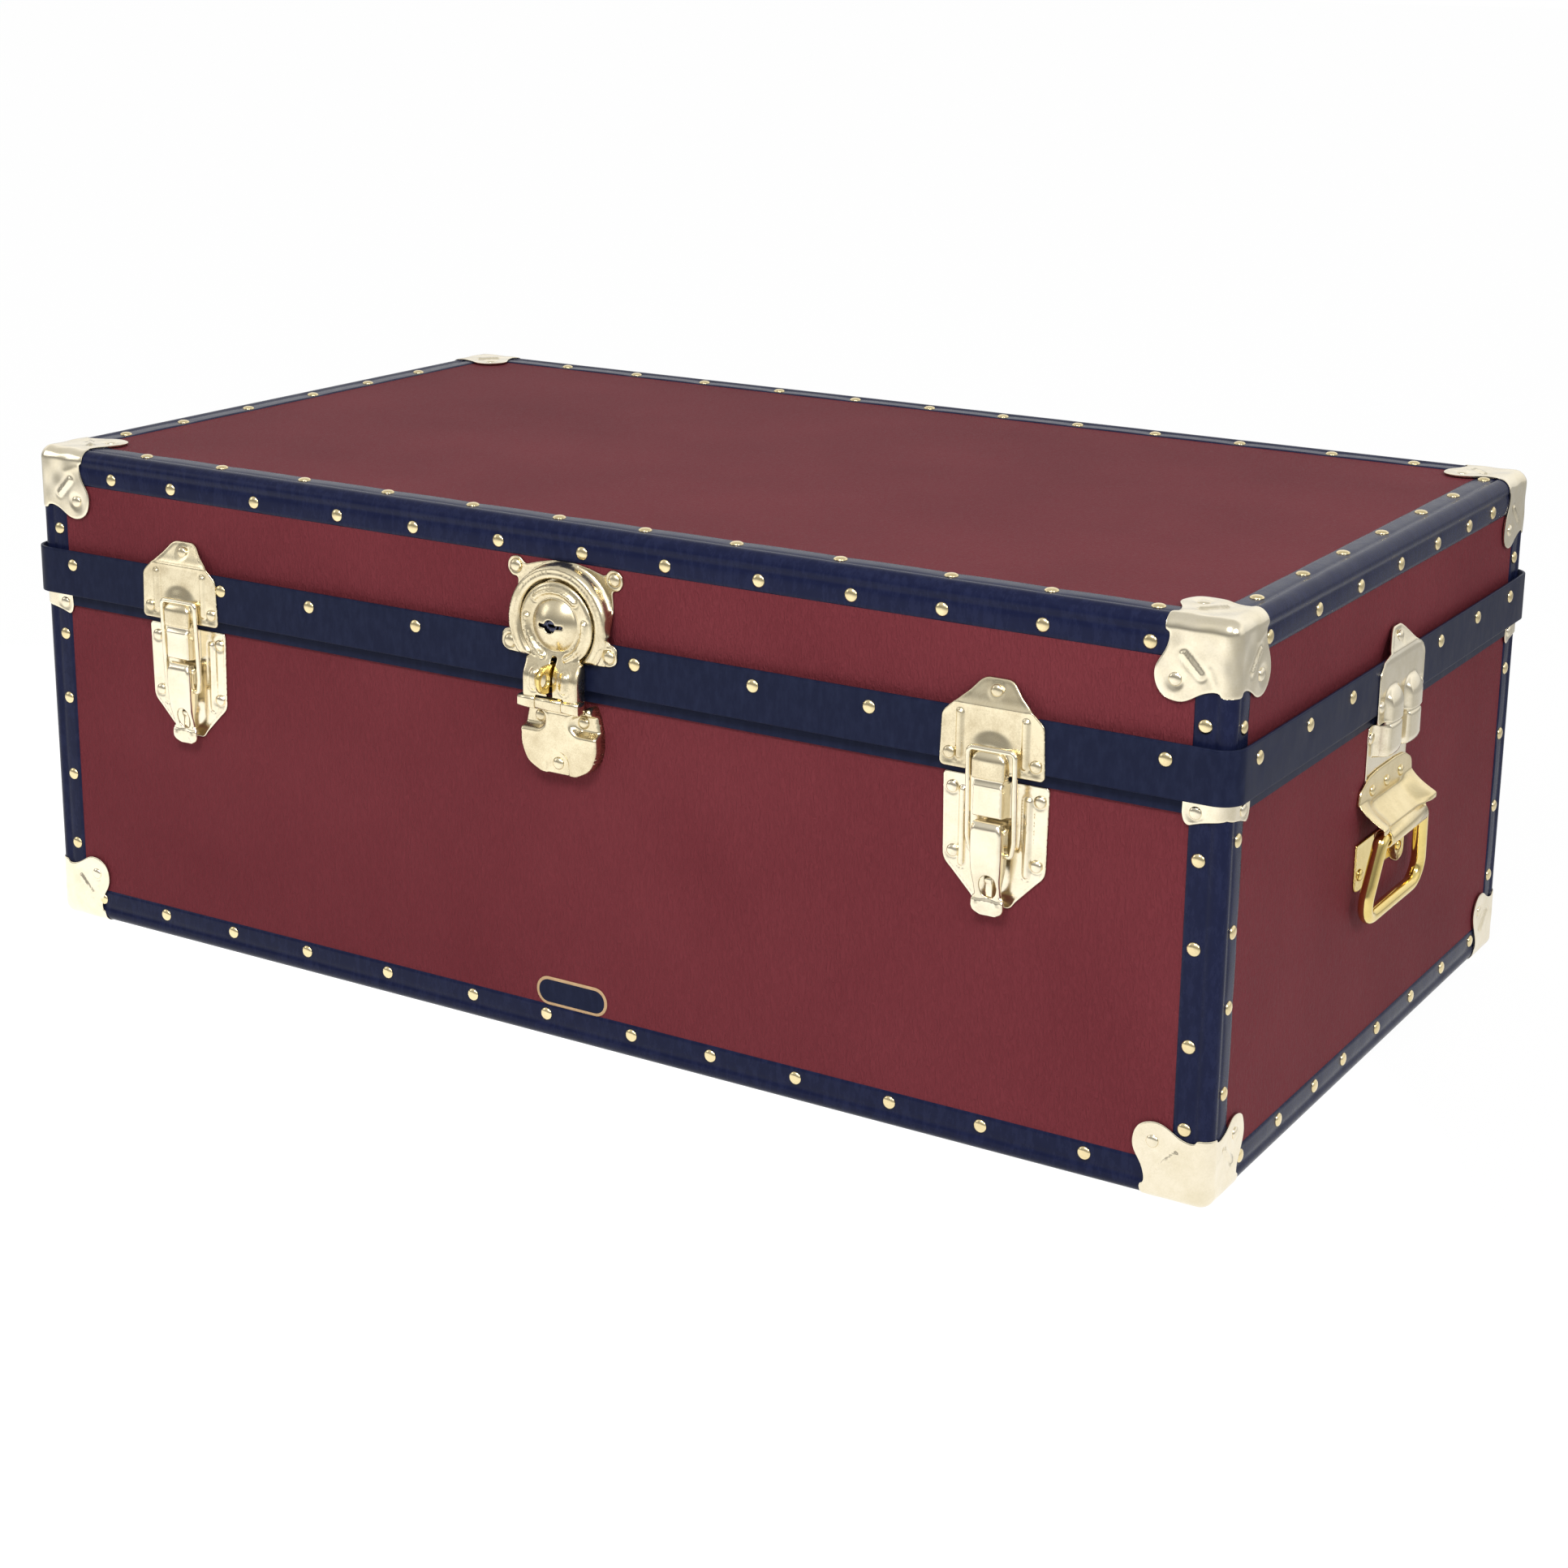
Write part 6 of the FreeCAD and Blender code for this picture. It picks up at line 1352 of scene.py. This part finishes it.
def handle_plate(build, sign):
    def height(spots):
        u, z = spots[:, 0], spots[:, 1]
        roll = BARREL_FACE ** 2 - np.clip(z - HANDLE_UP, 0, BARREL_FACE) ** 2
        barrel_face = HANDLE_OUT + np.sqrt(np.maximum(roll, 0))
        middle = 1.0 + 15.4 * smooth_step(-z, -187.5, -170.5)
        middle = np.where(z < 173.2, np.minimum(np.maximum(middle, 1), barrel_face), middle)
        middle = np.where(z < 171.0, barrel_face, middle)
        # The hoods to both sides flare out past the handle's ends
        share = np.clip((190.6 - z) / 13.6, 0, 1)
        hood = 1.0 + 17.6 * (share ** 1.08 - 0.10 * np.sin(math.pi * share))
        level = middle + (hood - middle) * smooth_step(np.abs(u), 23, 43)
        return level - ridge(z, 187.0, 2.0, 0.4) * (1 - smooth_step(np.abs(u), 14, 32))

    def back(spots):
        z = spots[:, 1]
        return np.where(z > 199.0, -0.05, np.where(z > 189.0, -1.35, height(spots) - 1.25))

    pressed(build, both(HANDLE_HALF), height, on_end(sign), 1.1, rows(52, np.arange(167.0, 192.5, 0.85)),
            back=back)
    for across in (-26, 0, 26):
        stud_head(build, on_end(sign), across, 194.6, 0.7, 3.9, 2.1)
    # Rolled barrel with open ends
    half = [(BARREL_INNER, BARREL_HALF - 0.5), (BARREL_INNER + 0.25, BARREL_HALF),
            (BARREL_OUTER - 0.25, BARREL_HALF), (BARREL_OUTER, BARREL_HALF - 0.5)]
    section = half + [(radius, -along) for radius, along in half[::-1]]
    fold, turns = on_end(sign), 36
    points = []
    for k in range(turns):
        turn = 2 * math.pi * k / turns
        for radius, along in section:
            up, out = HANDLE_UP + radius * math.sin(turn), HANDLE_OUT + radius * math.cos(turn)
            points.append(tuple(fold([(along, up)], np.array([out]))[0]))
    build.add(points, ring_faces(turns, len(section)))


BACK_HALF = [(0, 138.0, 0), (19.0, 137.4, 14.0), (27.0, 133.0, 8.0), (34.5, 130.2, 10.0), (45.2, 131.5, 9.0),
             (45.4, 162.8, 1.0), (0, 162.8, 0)]
BACK_STUD = (35.6, 141.0)


def back_plate(build, sign):
    outline = both(BACK_HALF)
    rim = even(outline, 1.5)

    def height(spots):
        level = -0.3 + 0.35 * (1 - smooth_step(-distance(spots, rim), 1.2, 2.4))
        for side in SIDES:
            level = level + dimple(spots, side * BACK_STUD[0], BACK_STUD[1], 0.3, 4.0, 6.0)
        return level

    pressed(build, outline, height, on_end(sign), 1.5, back=flat(-1.35))
    for side in SIDES:
        stud_head(build, on_end(sign), side * BACK_STUD[0], BACK_STUD[1], -0.7, 4.0, 2.2)


LOOP_TOP, LOOP_FOOT, LOOP_BAR = 37.6, (53.2, 8.0, 115.0), 4.75


def handle_loop(build, sign):
    top, foot = (LOOP_TOP, HANDLE_OUT, HANDLE_UP), LOOP_FOOT
    corners = [(0, HANDLE_OUT, HANDLE_UP), top, foot, (-foot[0], *foot[1:]), (-top[0], *top[1:]),
               (0, HANDLE_OUT, HANDLE_UP)]
    places = [on_end(sign)([(y, z)], np.array([out]))[0] for y, out, z in corners]
    path = bent_path(places, [4.95, 14.0, 14.0, 4.95])[:-1]
    filled = []
    for k, at in enumerate(path):
        following = path[(k + 1) % len(path)]
        steps = max(1, int(np.linalg.norm(following - at) / 6))
        filled += [at + (following - at) * i / steps for i in range(steps)]
    tube(build, filled, LOOP_BAR, 28, closed=True)


for side, sign in (("left", -1), ("right", 1)):
    for maker, name, body, material in (
            (guide_keeper, "guide_keeper_", "lid", "pale_brass"),
            (guide_plate, "guide_plate_", "base", "pale_brass"),
            (handle_plate, "handle_plate_", "base", "nail_brass"),
            (back_plate, "handle_back_plate_", "base", "deep_brass"),
            (handle_loop, "end_handle_", "end_handle_" + side, "deep_brass")):
        made(maker, sign).piece("look_" + name + side, body, material, name + side)

# Bare oval plate low on the front, and the rivets of the back hinges
PLATE_X, PLATE_UP = 6.0, 35.0


def oval_plate(build, half_long, half_high, level, skin):
    line = oblong(half_long, PLATE_UP - half_high, PLATE_UP + half_high, half_high, half_high)
    pressed(build, line, flat(level), on_front(PLATE_X), 2.4, skin=skin, lip=0.12)


def hinge_rivets(build, up, out):
    for hinge in (-290.0, 0.0, 290.0):
        for across in (-16.0, 16.0):
            head(build, (MIDDLE[0] + hinge + across, HIGH[1] + out, up), (0, 1, 0), 1.8, 3.9, 20)


made(oval_plate, 28.2, 9.9, -0.85, 0.5).piece("badge_rim", "base", "tan_print")
made(oval_plate, 26.2, 7.9, -0.70, 0.4).piece("badge_field", "base", "navy_fibre")
for body, up, out in (("lid", 268.0, 6.9), ("base", 213.0, 0.1)):
    made(hinge_rivets, up, out).piece("hinge_rivets_" + body, body, "nail_brass")

# Stage, light and camera
SKY_LOW, SKY_BACK, SKY_TOP = 0.25, 0.55, 0.42
floor_material, floor_tree, floor_shader = new_material("floor", (0.9, 0.9, 0.9), 0.9)
path = floor_tree.nodes.new("ShaderNodeLightPath")
seen = math_node(floor_tree, "MAXIMUM", path.outputs["Is Camera Ray"], path.outputs["Is Glossy Ray"])
seen = math_node(floor_tree, "MAXIMUM", seen, path.outputs["Is Transmission Ray"])
glow = floor_tree.nodes.new("ShaderNodeEmission")
glow.inputs["Color"].default_value = (1, 1, 1, 1)
mix = floor_tree.nodes.new("ShaderNodeMixShader")
floor_tree.links.new(math_node(floor_tree, "MULTIPLY", seen, 0.975), mix.inputs[0])
# Painted light: for glossy rays the floor glows at 1.35 round a spot in front left of the trunk, fading to 0.45
# further out, a painted pool of light that the metal reflects; camera rays still see it white
spread = floor_tree.nodes.new("ShaderNodeVectorMath")
spread.operation = "DISTANCE"
spread.inputs[1].default_value = (-0.45, -0.75, 0)
floor_tree.links.new(floor_tree.nodes.new("ShaderNodeTexCoord").outputs["Object"], spread.inputs[0])
painted_glow = ramp(floor_tree, spread.outputs["Value"], 0.5, 2.3, 1.35, 0.45)
brightness = math_node(floor_tree, "MAXIMUM", painted_glow, path.outputs["Is Camera Ray"])
floor_tree.links.new(brightness, glow.inputs["Strength"])
floor_tree.links.new(floor_shader.outputs[0], mix.inputs[1])
floor_tree.links.new(glow.outputs[0], mix.inputs[2])
floor_tree.links.new(mix.outputs[0], floor_tree.nodes["Material Output"].inputs["Surface"])
bpy.ops.mesh.primitive_plane_add(size=40)
floor = bpy.context.object
floor.name = "floor"
floor.data.materials.append(floor_material)

world = bpy.data.worlds.new("studio")
bpy.context.scene.world = world
world.use_nodes = True
tree = world.node_tree
background = tree.nodes["Background"]
background.inputs["Color"].default_value = (1, 1, 1, 1)
towards = tree.nodes.new("ShaderNodeTexCoord")
parts = tree.nodes.new("ShaderNodeSeparateXYZ")
tree.links.new(towards.outputs["Generated"], parts.inputs[0])
behind = ramp(tree, parts.outputs["Y"], -0.25, 0.30, 0, 1)
near_floor = ramp(tree, parts.outputs["Z"], 0.40, 0.75, 1, 0)
overhead = ramp(tree, parts.outputs["Z"], 0.05, 0.50, 0, 1)
studio = math_node(tree, "MULTIPLY", math_node(tree, "MULTIPLY", behind, near_floor), SKY_BACK)
studio = math_node(tree, "ADD", studio, math_node(tree, "MULTIPLY", overhead, SKY_TOP))
studio = math_node(tree, "ADD", studio, SKY_LOW)
direct = tree.nodes.new("ShaderNodeLightPath").outputs["Is Camera Ray"]
tree.links.new(math_node(tree, "MAXIMUM", studio, direct), background.inputs["Strength"])


def lamp(name, place, aim, size, power):
    data = bpy.data.lights.new(name, "AREA")
    data.shape = "RECTANGLE"
    data.size, data.size_y = size
    data.energy = power
    item = bpy.data.objects.new(name, data)
    item.location = place
    item.rotation_euler = (Vector(aim) - Vector(place)).to_track_quat("-Z", "Y").to_euler()
    bpy.context.scene.collection.objects.link(item)


lamp("key", (0.7, -2.1, 2.4), (0, 0, 0.2), (1.0, 0.7), 54)
lamp("side", (2.6, -1.4, 1.9), (0, 0, 0.2), (1.0, 0.9), 34)
lamp("left", (-2.6, -1.7, 1.3), (0, 0, 0.2), (1.0, 1.2), 6)

camera = bpy.data.cameras.new("camera")
camera.lens = 64.318
camera.sensor_width = 36
camera.shift_x, camera.shift_y = 0.01856, -0.08123
viewer = bpy.data.objects.new("camera", camera)
viewer.location = (1.014077, -1.646644, 0.730578)
viewer.rotation_euler = [math.radians(a) for a in (74.906813, -0.502676, 32.015487)]
bpy.context.scene.collection.objects.link(viewer)
bpy.context.scene.camera = viewer
bpy.context.scene.view_settings.view_transform = "Standard"

base_nails.piece("base_nails", "base", "nail_brass")
lid_nails.piece("lid_nails", "lid", "nail_brass")
